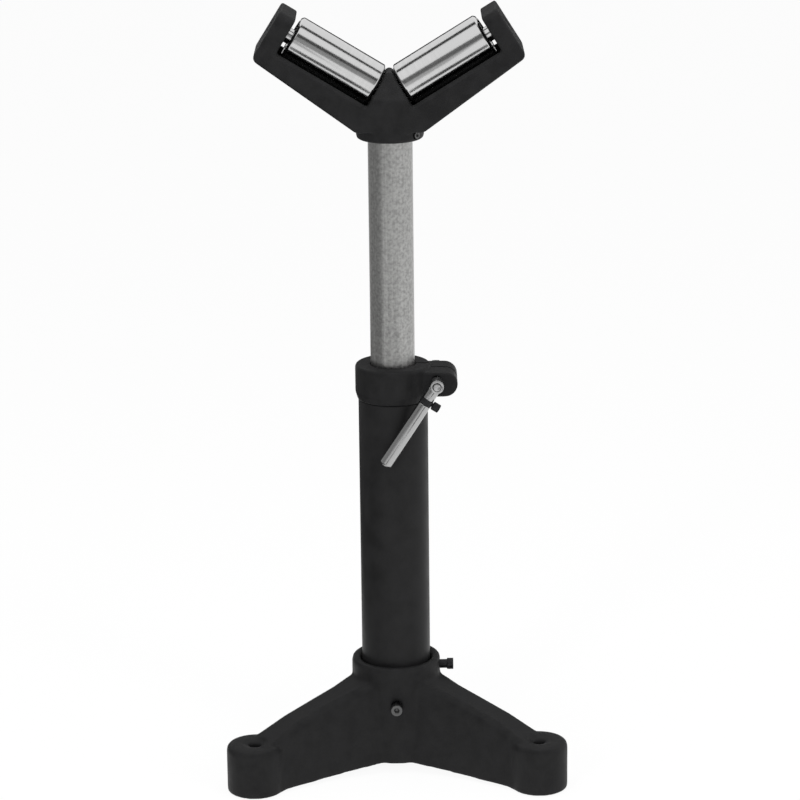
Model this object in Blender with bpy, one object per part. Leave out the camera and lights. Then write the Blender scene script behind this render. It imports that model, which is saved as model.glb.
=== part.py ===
"""A three-legged pipe support stand with a V head of two steel rollers.

The cast base stands on the floor at z = 0 and its column rises along +Z.
The head's two arms spread along X and its open front faces -Y.
"""

from math import cos, pi, radians, sin, tan

import bpy
from mathutils import Matrix, Vector

MM = 0.001
GAP = 0.3 * MM  # clearance left between two pieces that touch
CUT_PAST = 5.0 * MM  # how far a cutter passes the surface that it opens

# Base casting
LEG_COUNT = 3
FIRST_LEG_TURN = radians(90.0)
FOOT_CIRCLE = 180.5 * MM
FOOT_RADIUS = 31.5 * MM
FOOT_HEIGHT = 54.5 * MM
FOOT_WALL = 7.5 * MM
FOOT_ROOF = 10.0 * MM
FOOT_EDGE = 5.0 * MM
ANCHOR_HOLE = 6.5 * MM
ANCHOR_SPOT = 12.0 * MM
ANCHOR_SPOT_DEPTH = 1.5 * MM
HUB_WALL = 11.15 * MM
HUB_TOP = 123.5 * MM
HUB_BOTTOM = 10.0 * MM
HUB_RIM_ROUND = 3.0 * MM
HUB_MOUTH = 4.0 * MM
SOCKET_FLOOR_THICKNESS = 10.0 * MM
SOCKET_LEDGE = 16.05 * MM
LEG_WALL = 7.0 * MM
LEG_SHOULDER = 7.0 * MM
POCKET_TURN = radians(4.1)

# Column and mast pipes
COLUMN_RADIUS = 38.05 * MM
COLUMN_WALL = 3.6 * MM
COLUMN_TOP = 423.0 * MM
MAST_RADIUS = 24.15 * MM
MAST_WALL = 3.7 * MM
MAST_BOTTOM = 280.0 * MM

# Collar casting on top of the column
COLLAR_STEP = 3.25 * MM
COLLAR_HEIGHT = 39.5 * MM
COLLAR_TAPER = 8.5 * MM
COLLAR_EDGE = 3.0 * MM
SPIGOT_LENGTH = 20.0 * MM
MAST_RUNNING_GAP = 0.35 * MM
EAR_RADIUS = 13.9 * MM
EAR_HALF_DEPTH = 26.0 * MM
EAR_BELOW_TOP = 4.8 * MM
EAR_REACH = 15.4 * MM
SLIT_WIDTH = 3.2 * MM
SLIT_RISE = 13.0 * MM

# Clamp screw and lever
CLAMP_REACH = 6.2 * MM
CLAMP_BELOW_TOP = 13.0 * MM
CLAMP_SCREW_RADIUS = 4.0 * MM
LEVER_HUB_WALL = 3.1 * MM
LEVER_HUB_HALF = 8.5 * MM
LEVER_LEAN = radians(32.5)
LEVER_LENGTH = 107.0 * MM
LEVER_RADIUS = 6.9 * MM
LEVER_ARM_WALL = 2.0 * MM
LEVER_ARM_END = 18.0 * MM
LEVER_SPIGOT_RADIUS = 4.2 * MM
LEVER_SPIGOT_DEPTH = 8.5 * MM
LEVER_RING_STEP = 0.2 * MM
LEVER_RING_WIDTH = 6.0 * MM
CROSS_BOLT_RADIUS = 2.0 * MM
CROSS_BOLT_STANDS_OFF = 0.9 * MM
CROSS_BOLT_HEAD = 4.7 * MM
CROSS_BOLT_HEAD_LENGTH = 8.0 * MM
NUT_HALF_WIDTH = 6.5 * MM
NUT_HEIGHT = 6.5 * MM

# Mast guide bush
BUSH_HEIGHT = 24.0 * MM
BUSH_LEDGE = 6.0 * MM

# V head casting, measured along (s) and down from (t) the rollers' top line
ROLLER_SLOPE = radians(31.5)
HEAD_NECK = 25.4 * MM
TRAY_SIDE_GAP = 3.0 * MM
TRAY_WALL = 6.5 * MM
LUG_THICKNESS = 19.2 * MM
LUG_DRAFT = 0.6 * MM
ROLLER_END_GAP = 6.0 * MM
LUG_TOP = 2.0 * MM
LUG_CORNER = 10.0 * MM
LUG_BITE = 0.1 * MM  # the round crosses the lug's top at a slight angle
LUG_LOW_CORNER = 7.0 * MM
TRAY_RIM_ABOVE = 12.0 * MM
TRAY_DROP_OUTER = 13.7 * MM
TRAY_DROP_INNER = 23.0 * MM
TRAY_FLOOR = 8.0 * MM
WEDGE_CROWN = 4.0 * MM
WEDGE_TOP_HALF_DEPTH = 11.0 * MM
WEDGE_FLARE_HEIGHT = 34.0 * MM
BOSS_RADIUS = 36.6 * MM
BOSS_BOTTOM = 712.0 * MM
BOSS_EDGE = 4.0 * MM
BOSS_HEIGHT = 11.6 * MM
BOSS_BLEND = 14.0 * MM
MAST_SOCKET_DEPTH = 28.0 * MM
HEAD_EDGE = 2.2 * MM

# Rollers, axles and bearings
ROLLER_RADIUS = 25.5 * MM
ROLLER_START = 2.6 * MM
ROLLER_LENGTH = 104.0 * MM
ROLLER_CHAMFER = 2.6 * MM
BEARING_SHOULDER = 2.5 * MM
ROLLER_SIDE_GAP = 1.6 * MM
BEARING_HEIGHT = 11.5 * MM
BEARING_WIDTH = 12.0 * MM
BEARING_SETBACK = 2.0 * MM
BEARING_INNER_HEIGHT = 2.8 * MM
AXLE_RADIUS = 8.5 * MM
AXLE_CHAMFER = 1.0 * MM
AXLE_INSET = 0.8 * MM
AXLE_BLIND_DEPTH = 10.0 * MM
AXLE_SCREW_RADIUS = 4.0 * MM
AXLE_SCREW_RECESS = 4.4 * MM

# Set screws
HUB_SCREW_RADIUS = 5.0 * MM
HUB_SCREW_HEAD = 6.3 * MM
HUB_SCREW_STICK_OUT = 14.5 * MM
HUB_SCREW_HEAD_LENGTH = 7.0 * MM
HUB_SCREW_RIGHT_DROP = 12.2 * MM
HUB_SCREW_FRONT_DROP = 43.5 * MM
HEAD_SCREW_RADIUS = 4.0 * MM
HEAD_SCREW_TURN = radians(51.0)
HEAD_SCREW_RISE = 7.6 * MM
HEAD_SCREW_STICK_OUT = 1.2 * MM

# Mesh fineness
PIPE_STEPS = 36
CASTING_STEPS = 36
SMALL_STEPS = 18

# Sizes and places that follow from those above
COLUMN_INNER = COLUMN_RADIUS - COLUMN_WALL
MAST_INNER = MAST_RADIUS - MAST_WALL
HUB_RADIUS = COLUMN_RADIUS + GAP + HUB_WALL
SOCKET_FLOOR = HUB_BOTTOM + SOCKET_FLOOR_THICKNESS
SOCKET_DRAIN = COLUMN_RADIUS - SOCKET_LEDGE
COLUMN_BOTTOM = SOCKET_FLOOR + GAP
HUB_SCREW_RIGHT_Z = HUB_TOP - HUB_SCREW_RIGHT_DROP
HUB_SCREW_FRONT_Z = HUB_TOP - HUB_SCREW_FRONT_DROP

COLLAR_RADIUS = COLUMN_RADIUS + COLLAR_STEP
COLLAR_FOOT = COLUMN_TOP + GAP
COLLAR_TOP = COLUMN_TOP + COLLAR_HEIGHT
COLLAR_TAPER_TOP = COLUMN_TOP + COLLAR_TAPER
EAR_TOP = COLLAR_TOP - EAR_BELOW_TOP
EAR_BOTTOM = EAR_TOP - 2.0 * EAR_RADIUS
EAR_MIDDLE = EAR_TOP - EAR_RADIUS
EAR_X = COLLAR_RADIUS + EAR_REACH
SLIT_BOTTOM = COLUMN_TOP + SLIT_RISE

CLAMP_X = COLLAR_RADIUS + CLAMP_REACH
CLAMP_Z = COLLAR_TOP - CLAMP_BELOW_TOP
LEVER_PLANE = -(COLLAR_RADIUS + LEVER_RADIUS + GAP)
LEVER_HUB_RADIUS = CLAMP_SCREW_RADIUS + GAP + LEVER_HUB_WALL
LEVER_ARM_RADIUS = LEVER_SPIGOT_RADIUS + GAP + LEVER_ARM_WALL
LEVER_SPIGOT_START = LEVER_ARM_END - LEVER_SPIGOT_DEPTH
LEVER_RING_RADIUS = LEVER_RADIUS + LEVER_RING_STEP
LEVER_RING_START = LEVER_ARM_END + GAP
LEVER_SHOULDER = LEVER_RING_START + LEVER_RING_WIDTH + GAP
CROSS_BOLT_ALONG = LEVER_RING_START + LEVER_RING_WIDTH / 2.0

HEAD_BORE = MAST_RADIUS + GAP
HEAD_HALF_DEPTH = ROLLER_RADIUS + TRAY_SIDE_GAP + TRAY_WALL
TOP_LINES_MEET = BOSS_BOTTOM + 2.0 * ROLLER_RADIUS + HEAD_NECK
BOSS_SHOULDER = BOSS_BOTTOM + BOSS_HEIGHT
MAST_SOCKET_TOP = BOSS_BOTTOM + MAST_SOCKET_DEPTH
HEAD_SCREW_Z = BOSS_BOTTOM + HEAD_SCREW_RISE
ROLLER_END = ROLLER_START + ROLLER_LENGTH
LUG_INNER = ROLLER_END + ROLLER_END_GAP
LUG_OUTER = LUG_INNER + LUG_THICKNESS
LUG_MIDDLE = (LUG_INNER + LUG_OUTER) / 2.0
TRAY_RIM = 2.0 * ROLLER_RADIUS - TRAY_RIM_ABOVE
WEDGE_SIDE = ROLLER_START - ROLLER_SIDE_GAP

BEARING_RADIUS = AXLE_RADIUS + BEARING_HEIGHT
BEARING_RING_SPLIT = AXLE_RADIUS + BEARING_INNER_HEIGHT
ROLLER_INNER_RADIUS = BEARING_RADIUS - BEARING_SHOULDER
AXLE_START = WEDGE_SIDE - AXLE_BLIND_DEPTH


def clear_scene():
    for old in list(bpy.data.objects):
        bpy.data.objects.remove(old, do_unlink=True)


def material(name, colour, roughness, metallic):
    made = bpy.data.materials.new(name)
    made.use_nodes = True
    shader = made.node_tree.nodes["Principled BSDF"]
    shader.inputs["Base Color"].default_value = (*colour, 1.0)
    shader.inputs["Roughness"].default_value = roughness
    shader.inputs["Metallic"].default_value = metallic
    return made


def black_casting():
    return material("black_casting", (0.018, 0.018, 0.019), 0.55, 0.0)


def black_tube():
    return material("black_tube", (0.016, 0.016, 0.017), 0.45, 0.0)


def zinc_pipe():
    return material("zinc_pipe", (0.36, 0.36, 0.35), 0.42, 1.0)


def bright_steel():
    return material("bright_steel", (0.66, 0.66, 0.66), 0.22, 1.0)


def black_oxide():
    return material("black_oxide", (0.02, 0.02, 0.022), 0.38, 0.6)


def bearing_steel():
    return material("bearing_steel", (0.55, 0.55, 0.56), 0.25, 1.0)


def guide_plastic():
    return material("guide_plastic", (0.06, 0.06, 0.065), 0.6, 0.0)


def object_from(name, points, faces, paint=None):
    mesh = bpy.data.meshes.new(name)
    mesh.from_pydata([tuple(point) for point in points], [], faces)
    mesh.update()
    made = bpy.data.objects.new(name, mesh)
    bpy.context.scene.collection.objects.link(made)
    if paint is not None:
        mesh.materials.append(paint)
    return made


def turned(name, profile, steps, paint=None):
    """A profile of (radius, height) turned once round Z by the Screw modifier."""
    points = [(radius, 0.0, height) for radius, height in profile]
    on_axis = profile[0][0] == 0.0
    count = len(points)
    edges = [(i, i + 1) for i in range(count - 1)]
    if not on_axis:
        edges.append((count - 1, 0))
    mesh = bpy.data.meshes.new(name)
    mesh.from_pydata(points, edges, [])
    made = bpy.data.objects.new(name, mesh)
    bpy.context.scene.collection.objects.link(made)
    if paint is not None:
        mesh.materials.append(paint)
    screw = made.modifiers.new("turn", "SCREW")
    screw.axis = "Z"
    screw.steps = steps
    screw.render_steps = steps
    screw.use_merge_vertices = True
    screw.merge_threshold = 0.00001
    screw.use_smooth_shade = True
    return made


def lofted(name, rings, paint=None):
    """A closed skin through rings that each hold the same number of points."""
    size = len(rings[0])
    points = [point for ring in rings for point in ring]
    faces = [tuple(reversed(range(size)))]
    for row in range(len(rings) - 1):
        for i in range(size):
            j = (i + 1) % size
            here, there = row * size, (row + 1) * size
            faces.append((here + i, here + j, there + j))
            faces.append((here + i, there + j, there + i))
    last = (len(rings) - 1) * size
    faces.append(tuple(range(last, last + size)))
    return object_from(name, points, faces, paint)


def prism(name, outline, low, high, place, paint=None):
    """A flat outline, anticlockwise seen from its far end, pushed from low to high."""
    rings = [[place(a, b, level) for a, b in outline] for level in (low, high)]
    return lofted(name, rings, paint)


def along_y(x, z, y):
    return (x, -y, z)


def cylinder(name, radius, length, steps, paint=None, edge=0.0):
    """A rod from the origin up +Z, its far edge chamfered if asked."""
    if edge > 0.0:
        profile = [(0.0, length), (radius - edge, length), (radius, length - edge), (radius, 0.0), (0.0, 0.0)]
    else:
        profile = [(0.0, length), (radius, length), (radius, 0.0), (0.0, 0.0)]
    return turned(name, profile, steps, paint)


def aim(thing, start, direction):
    """Moves a piece built up +Z so that it starts at a point and runs in a direction."""
    thing.location = start
    thing.rotation_mode = "QUATERNION"
    thing.rotation_quaternion = Vector(direction).to_track_quat("Z", "Y")
    return thing


def as_tool(thing):
    thing.hide_render = True
    thing.display_type = "WIRE"
    return thing


def boolean(body, tool, operation):
    step = body.modifiers.new(tool.name, "BOOLEAN")
    step.operation = operation
    step.solver = "EXACT"
    step.object = as_tool(tool)


def cut(body, *tools):
    for tool in tools:
        boolean(body, tool, "DIFFERENCE")


def join(body, *tools):
    for tool in tools:
        boolean(body, tool, "UNION")


def bevel(thing, width, segments=2, angle=35.0):
    step = thing.modifiers.new("edges", "BEVEL")
    step.width = width
    step.segments = segments
    step.limit_method = "ANGLE"
    step.angle_limit = radians(angle)
    step.harden_normals = False


def arc(centre_a, centre_b, radius, start, end, count):
    """Points on an arc, from one angle in degrees to another."""
    found = []
    for i in range(count + 1):
        turn = radians(start + (end - start) * i / count)
        found.append((centre_a + radius * cos(turn), centre_b + radius * sin(turn)))
    return found


# The base

def leg_section(distance, top, low, half_top, half_low, turn, corner):
    """One ring across a leg: a flat-bottomed hump with chamfered shoulders."""
    outline = [
        (-half_low, low),
        (half_low, low),
        (half_top + (half_low - half_top) * 0.18, top - corner),
        (half_top - corner * 0.75, top),
        (-half_top + corner * 0.75, top),
        (-half_top - (half_low - half_top) * 0.18, top - corner),
    ]
    return [
        (
            distance * cos(turn) - across * sin(turn),
            distance * sin(turn) + across * cos(turn),
            height,
        )
        for across, height in outline
    ]


LEG_STATIONS = (
    # share of the way out to the feet, share of the rise from foot top to hub top,
    # underside as a share of the hub's, half width on top, half width below
    (0.133, 0.783, 1.10, 28.0 * MM, 34.0 * MM),
    (0.288, 0.681, 0.89, 23.5 * MM, 31.0 * MM),
    (0.399, 0.587, 0.65, 20.0 * MM, 26.5 * MM),
    (0.576, 0.442, 0.38, 18.5 * MM, 24.0 * MM),
    (0.754, 0.275, 0.24, 19.0 * MM, 24.5 * MM),
    (0.886, 0.094, 0.20, 22.0 * MM, 26.0 * MM),
    (0.975, -0.016, 0.20, 23.0 * MM, 26.0 * MM),
)


def leg_distance(out):
    return out * FOOT_CIRCLE


def leg_top(rise):
    return FOOT_HEIGHT + rise * (HUB_TOP - FOOT_HEIGHT)


def leg_skin(name, turn):
    rings = [
        leg_section(leg_distance(out), leg_top(rise), low * HUB_BOTTOM, half_top, half_low, turn, LEG_SHOULDER)
        for out, rise, low, half_top, half_low in LEG_STATIONS
    ]
    return lofted(name, rings)


def leg_hollow(name, turn):
    """The open channel under a leg, one wall thickness inside its skin."""
    rings = [
        leg_section(
            leg_distance(out),
            leg_top(rise) - LEG_WALL,
            -CUT_PAST,
            half_top - LEG_WALL,
            half_low - LEG_WALL,
            turn,
            LEG_SHOULDER - LEG_WALL * 0.3,
        )
        for out, rise, _, half_top, half_low in LEG_STATIONS[1:5]
    ]
    return lofted(name, rings)


def foot_pad(name, centre):
    pad = turned(
        name,
        [
            (0.0, FOOT_HEIGHT),
            (FOOT_RADIUS - FOOT_EDGE, FOOT_HEIGHT),
            (FOOT_RADIUS - FOOT_EDGE * 0.3, FOOT_HEIGHT - FOOT_EDGE * 0.3),
            (FOOT_RADIUS, FOOT_HEIGHT - FOOT_EDGE),
            (FOOT_RADIUS, 0.0),
            (0.0, 0.0),
        ],
        CASTING_STEPS,
    )
    pad.location = centre
    return pad


def foot_hollow(name, centre):
    """The ring-shaped pocket under a foot, round its bolt boss."""
    inner = ANCHOR_HOLE + FOOT_WALL
    outer = FOOT_RADIUS - FOOT_WALL
    roof = FOOT_HEIGHT - FOOT_ROOF
    pocket = turned(
        name,
        [(outer - 1.5 * MM, roof), (outer, -CUT_PAST), (inner, -CUT_PAST), (inner + 1.5 * MM, roof)],
        SMALL_STEPS + 4,
    )
    pocket.location = centre
    pocket.rotation_euler = (0.0, 0.0, POCKET_TURN)
    return pocket


def anchor_hole(name, centre):
    spot = FOOT_HEIGHT - ANCHOR_SPOT_DEPTH
    hole = turned(
        name,
        [
            (0.0, FOOT_HEIGHT + CUT_PAST),
            (ANCHOR_SPOT, FOOT_HEIGHT + CUT_PAST),
            (ANCHOR_SPOT, spot),
            (ANCHOR_HOLE, spot),
            (ANCHOR_HOLE, -CUT_PAST),
            (0.0, -CUT_PAST),
        ],
        SMALL_STEPS + 4,
    )
    hole.location = centre
    hole.rotation_euler = (0.0, 0.0, POCKET_TURN)
    return hole


def hub_screw_hole(name, height, direction):
    hole = cylinder(name, HUB_SCREW_RADIUS + GAP, HUB_RADIUS, SMALL_STEPS)
    return aim(hole, (0.0, 0.0, height), direction)


def base_casting(paint):
    hub_mouth = COLUMN_RADIUS + GAP + HUB_MOUTH
    body = turned(
        "base_casting",
        [
            (0.0, HUB_TOP),
            (HUB_RADIUS - HUB_RIM_ROUND, HUB_TOP),
            (HUB_RADIUS - HUB_RIM_ROUND * 0.3, HUB_TOP - HUB_RIM_ROUND * 0.3),
            (HUB_RADIUS, HUB_TOP - HUB_RIM_ROUND),
            (HUB_RADIUS, HUB_BOTTOM),
            (0.0, HUB_BOTTOM),
        ],
        CASTING_STEPS,
        paint,
    )
    turns = [FIRST_LEG_TURN + 2.0 * pi * i / LEG_COUNT for i in range(LEG_COUNT)]
    centres = [(FOOT_CIRCLE * cos(turn), FOOT_CIRCLE * sin(turn), 0.0) for turn in turns]
    for i, turn in enumerate(turns):
        join(body, leg_skin(f"leg_skin_{i}", turn))
    for i, centre in enumerate(centres):
        join(body, foot_pad(f"foot_pad_{i}", centre))
    for i, turn in enumerate(turns):
        cut(body, leg_hollow(f"leg_hollow_{i}", turn))
    for i, centre in enumerate(centres):
        cut(body, foot_hollow(f"foot_hollow_{i}", centre), anchor_hole(f"anchor_hole_{i}", centre))
    bore = turned(
        "column_socket",
        [
            (0.0, HUB_TOP + CUT_PAST),
            (hub_mouth + CUT_PAST, HUB_TOP + CUT_PAST),
            (hub_mouth, HUB_TOP),
            (COLUMN_RADIUS + GAP, HUB_TOP - HUB_MOUTH),
            (COLUMN_RADIUS + GAP, SOCKET_FLOOR),
            (SOCKET_DRAIN, SOCKET_FLOOR),
            (SOCKET_DRAIN, -CUT_PAST),
            (0.0, -CUT_PAST),
        ],
        CASTING_STEPS,
    )
    bore.rotation_euler = (0.0, 0.0, pi / CASTING_STEPS)
    cut(body, bore)
    cut(body, hub_screw_hole("right_screw_hole", HUB_SCREW_RIGHT_Z, (1.0, 0.0, 0.0)))
    cut(body, hub_screw_hole("front_screw_hole", HUB_SCREW_FRONT_Z, (0.0, -1.0, 0.0)))
    return body


def hub_set_screw(name, height, direction, paint):
    """A screw that bites on the column, with a round head and a flat-sided socket."""
    start = COLUMN_RADIUS + GAP
    length = HUB_RADIUS + HUB_SCREW_STICK_OUT - start
    neck = length - HUB_SCREW_HEAD_LENGTH
    screw = turned(
        name,
        [
            (0.0, length),
            (HUB_SCREW_HEAD - 0.8 * MM, length),
            (HUB_SCREW_HEAD, length - 0.8 * MM),
            (HUB_SCREW_HEAD, neck),
            (HUB_SCREW_RADIUS, neck),
            (HUB_SCREW_RADIUS, 1.2 * MM),
            (HUB_SCREW_RADIUS - 1.2 * MM, 0.0),
            (0.0, 0.0),
        ],
        SMALL_STEPS,
        paint,
    )
    socket = cylinder(name + "_socket", 3.2 * MM, 5.0 * MM, 6)
    socket.location = (0.0, 0.0, length - 4.0 * MM)
    socket.parent = screw
    cut(screw, socket)
    reach = Vector(direction) * start
    return aim(screw, (reach.x, reach.y, height), direction)


# The column, its collar and the clamp

def pipe(name, radius, wall, low, high, paint):
    inner = radius - wall
    edge = 0.8 * MM
    return turned(
        name,
        [
            (radius - edge, high),
            (radius, high - edge),
            (radius, low + edge),
            (radius - edge, low),
            (inner, low),
            (inner, high),
        ],
        PIPE_STEPS,
        paint,
    )


def collar_casting(paint):
    bore = MAST_RADIUS + MAST_RUNNING_GAP
    spigot = COLUMN_INNER - GAP
    body = turned(
        "collar_casting",
        [
            (0.0, COLLAR_TOP),
            (COLLAR_RADIUS - COLLAR_EDGE, COLLAR_TOP),
            (COLLAR_RADIUS - COLLAR_EDGE * 0.3, COLLAR_TOP - COLLAR_EDGE * 0.3),
            (COLLAR_RADIUS, COLLAR_TOP - COLLAR_EDGE),
            (COLLAR_RADIUS, COLLAR_TAPER_TOP),
            (COLUMN_RADIUS + 0.8 * MM, COLLAR_FOOT),
            (spigot, COLLAR_FOOT),
            (spigot, COLLAR_FOOT - SPIGOT_LENGTH + 1.5 * MM),
            (spigot - 1.5 * MM, COLLAR_FOOT - SPIGOT_LENGTH),
            (0.0, COLLAR_FOOT - SPIGOT_LENGTH),
        ],
        CASTING_STEPS,
        paint,
    )
    ear_root = (MAST_RADIUS + COLLAR_RADIUS) / 2.0
    outline = [(ear_root, EAR_BOTTOM)]
    outline += arc(EAR_X, EAR_MIDDLE, EAR_RADIUS, -90.0, 90.0, 12)
    outline += [(ear_root, EAR_TOP)]
    ear = prism("collar_ear", outline, -EAR_HALF_DEPTH, EAR_HALF_DEPTH, along_y)
    bevel(ear, 1.8 * MM)
    join(body, ear)
    hole = cylinder("mast_bore", bore, COLLAR_HEIGHT + SPIGOT_LENGTH + 2.0 * CUT_PAST, PIPE_STEPS)
    hole.location = (0.0, 0.0, COLLAR_FOOT - SPIGOT_LENGTH - CUT_PAST)
    hole.rotation_euler = (0.0, 0.0, pi / PIPE_STEPS)
    slit_outline = [
        (0.0, SLIT_BOTTOM),
        (EAR_X * 2.0, SLIT_BOTTOM),
        (EAR_X * 2.0, COLLAR_TOP + CUT_PAST),
        (0.0, COLLAR_TOP + CUT_PAST),
    ]
    slit = prism("collar_slit", slit_outline, -SLIT_WIDTH / 2.0, SLIT_WIDTH / 2.0, along_y)
    low_outline = [
        (COLLAR_RADIUS - 1.3 * MM, EAR_BOTTOM - CUT_PAST),
        (EAR_X * 2.0, EAR_BOTTOM - CUT_PAST),
        (EAR_X * 2.0, SLIT_BOTTOM + 1.0 * MM),
        (COLLAR_RADIUS - 1.3 * MM, SLIT_BOTTOM + 1.0 * MM),
    ]
    low_slit = prism("ear_slit", low_outline, -SLIT_WIDTH / 2.0, SLIT_WIDTH / 2.0, along_y)
    way_reach = EAR_HALF_DEPTH + CUT_PAST
    screw_way = cylinder("clamp_way", CLAMP_SCREW_RADIUS + GAP, 2.0 * way_reach, SMALL_STEPS)
    aim(screw_way, (CLAMP_X, -way_reach, CLAMP_Z), (0.0, 1.0, 0.0))
    cut(body, hole, slit, low_slit, screw_way)
    return body


def clamp_screw(paint):
    front = LEVER_PLANE - LEVER_HUB_HALF - 1.5 * MM
    back = EAR_HALF_DEPTH + NUT_HEIGHT + 3.5 * MM
    length = back - front
    screw = turned(
        "clamp_screw",
        [
            (0.0, length),
            (CLAMP_SCREW_RADIUS - 1.0 * MM, length),
            (CLAMP_SCREW_RADIUS, length - 1.0 * MM),
            (CLAMP_SCREW_RADIUS, 1.0 * MM),
            (CLAMP_SCREW_RADIUS - 1.0 * MM, 0.0),
            (0.0, 0.0),
        ],
        SMALL_STEPS,
        paint,
    )
    return aim(screw, (CLAMP_X, front, CLAMP_Z), (0.0, 1.0, 0.0))


def clamp_nut(paint):
    nut = turned(
        "clamp_nut",
        [
            (NUT_HALF_WIDTH * 1.02, NUT_HEIGHT),
            (NUT_HALF_WIDTH * 1.1547, NUT_HEIGHT - 1.0 * MM),
            (NUT_HALF_WIDTH * 1.1547, 0.0),
            (CLAMP_SCREW_RADIUS + GAP, 0.0),
            (CLAMP_SCREW_RADIUS + GAP, NUT_HEIGHT),
        ],
        SMALL_STEPS + 4,
        paint,
    )
    flats = turned(
        "clamp_nut_flats",
        [
            (0.0, NUT_HEIGHT + CUT_PAST),
            (NUT_HALF_WIDTH * 1.1547, NUT_HEIGHT + CUT_PAST),
            (NUT_HALF_WIDTH * 1.1547, -CUT_PAST),
            (0.0, -CUT_PAST),
        ],
        6,
    )
    flats.parent = nut
    boolean(nut, flats, "INTERSECT")
    return aim(nut, (CLAMP_X, EAR_HALF_DEPTH + GAP, CLAMP_Z), (0.0, 1.0, 0.0))


def lever_way():
    """The direction in which the lever hangs from the clamp screw."""
    return Vector((-sin(LEVER_LEAN), 0.0, -cos(LEVER_LEAN)))


def lever_across():
    return Vector((cos(LEVER_LEAN), 0.0, -sin(LEVER_LEAN)))


def clamp_point():
    return Vector((CLAMP_X, LEVER_PLANE, CLAMP_Z))


def lever_hub(paint):
    edge = 1.2 * MM
    high = LEVER_HUB_HALF * 2.0
    hub = turned(
        "lever_hub",
        [
            (0.0, high),
            (LEVER_HUB_RADIUS - edge, high),
            (LEVER_HUB_RADIUS, high - edge),
            (LEVER_HUB_RADIUS, edge),
            (LEVER_HUB_RADIUS - edge, 0.0),
            (0.0, 0.0),
        ],
        SMALL_STEPS + 4,
        paint,
    )
    aim(hub, (CLAMP_X, LEVER_PLANE - LEVER_HUB_HALF, CLAMP_Z), (0.0, 1.0, 0.0))
    arm = cylinder("lever_arm", LEVER_ARM_RADIUS, LEVER_ARM_END, SMALL_STEPS + 4, edge=1.0 * MM)
    aim(arm, clamp_point(), lever_way())
    socket_start = LEVER_SPIGOT_START - GAP
    socket = cylinder("lever_socket", LEVER_SPIGOT_RADIUS + GAP, LEVER_LENGTH, SMALL_STEPS)
    aim(socket, clamp_point() + lever_way() * socket_start, lever_way())
    way_reach = LEVER_HUB_HALF + CUT_PAST
    way = cylinder("hub_screw_way", CLAMP_SCREW_RADIUS + GAP, 2.0 * way_reach, SMALL_STEPS)
    aim(way, (CLAMP_X, LEVER_PLANE - way_reach, CLAMP_Z), (0.0, 1.0, 0.0))
    join(hub, arm)
    cut(hub, socket, way)
    return hub


def cross_bolt_way(name):
    way_reach = LEVER_RING_RADIUS + CUT_PAST
    way = cylinder(name, CROSS_BOLT_RADIUS + GAP, 2.0 * way_reach, SMALL_STEPS)
    start = clamp_point() + lever_way() * CROSS_BOLT_ALONG - lever_across() * way_reach
    return aim(way, start, lever_across())


def lever_rod(paint):
    """The handle: a spigot that plugs into the hub, then a bar with a domed end."""
    length = LEVER_LENGTH - LEVER_SPIGOT_START
    shoulder = LEVER_SHOULDER - LEVER_SPIGOT_START
    dome = [
        (LEVER_RADIUS * sin(radians(turn)), length - LEVER_RADIUS * 0.6 * (1.0 - cos(radians(turn))))
        for turn in (0.0, 30.0, 60.0, 90.0)
    ]
    rod = turned(
        "lever_rod",
        dome
        + [
            (LEVER_RADIUS, shoulder + 1.0 * MM),
            (LEVER_RADIUS - 1.0 * MM, shoulder),
            (LEVER_SPIGOT_RADIUS, shoulder),
            (LEVER_SPIGOT_RADIUS, 0.0),
            (0.0, 0.0),
        ],
        SMALL_STEPS + 4,
        paint,
    )
    aim(rod, clamp_point() + lever_way() * LEVER_SPIGOT_START, lever_way())
    cut(rod, cross_bolt_way("rod_cross_way"))
    return rod


def lever_ring(paint):
    """The black ring on the spigot, between the hub and the handle."""
    body = ring(
        "lever_ring", LEVER_RING_RADIUS, LEVER_SPIGOT_RADIUS + GAP, LEVER_RING_WIDTH, paint, SMALL_STEPS + 4
    )
    aim(body, clamp_point() + lever_way() * LEVER_RING_START, lever_way())
    cut(body, cross_bolt_way("ring_cross_way"))
    return body


def lever_cross_bolt(paint):
    """The small cap screw through the ring and the spigot, its head at the lower right."""
    seat = LEVER_RING_RADIUS + CROSS_BOLT_STANDS_OFF
    tail = LEVER_RING_RADIUS - 1.0 * MM
    length = seat + tail + CROSS_BOLT_HEAD_LENGTH
    neck = length - CROSS_BOLT_HEAD_LENGTH
    bolt = turned(
        "lever_cross_bolt",
        [
            (0.0, length),
            (CROSS_BOLT_HEAD - 0.6 * MM, length),
            (CROSS_BOLT_HEAD, length - 0.6 * MM),
            (CROSS_BOLT_HEAD, neck),
            (CROSS_BOLT_RADIUS, neck),
            (CROSS_BOLT_RADIUS, 0.0),
            (0.0, 0.0),
        ],
        SMALL_STEPS,
        paint,
    )
    socket = cylinder("cross_bolt_socket", CROSS_BOLT_HEAD * 0.5, 5.0 * MM, 6)
    socket.location = (0.0, 0.0, length - 3.0 * MM)
    socket.parent = bolt
    cut(bolt, socket)
    start = clamp_point() + lever_way() * CROSS_BOLT_ALONG - lever_across() * tail
    return aim(bolt, start, lever_across())


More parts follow.
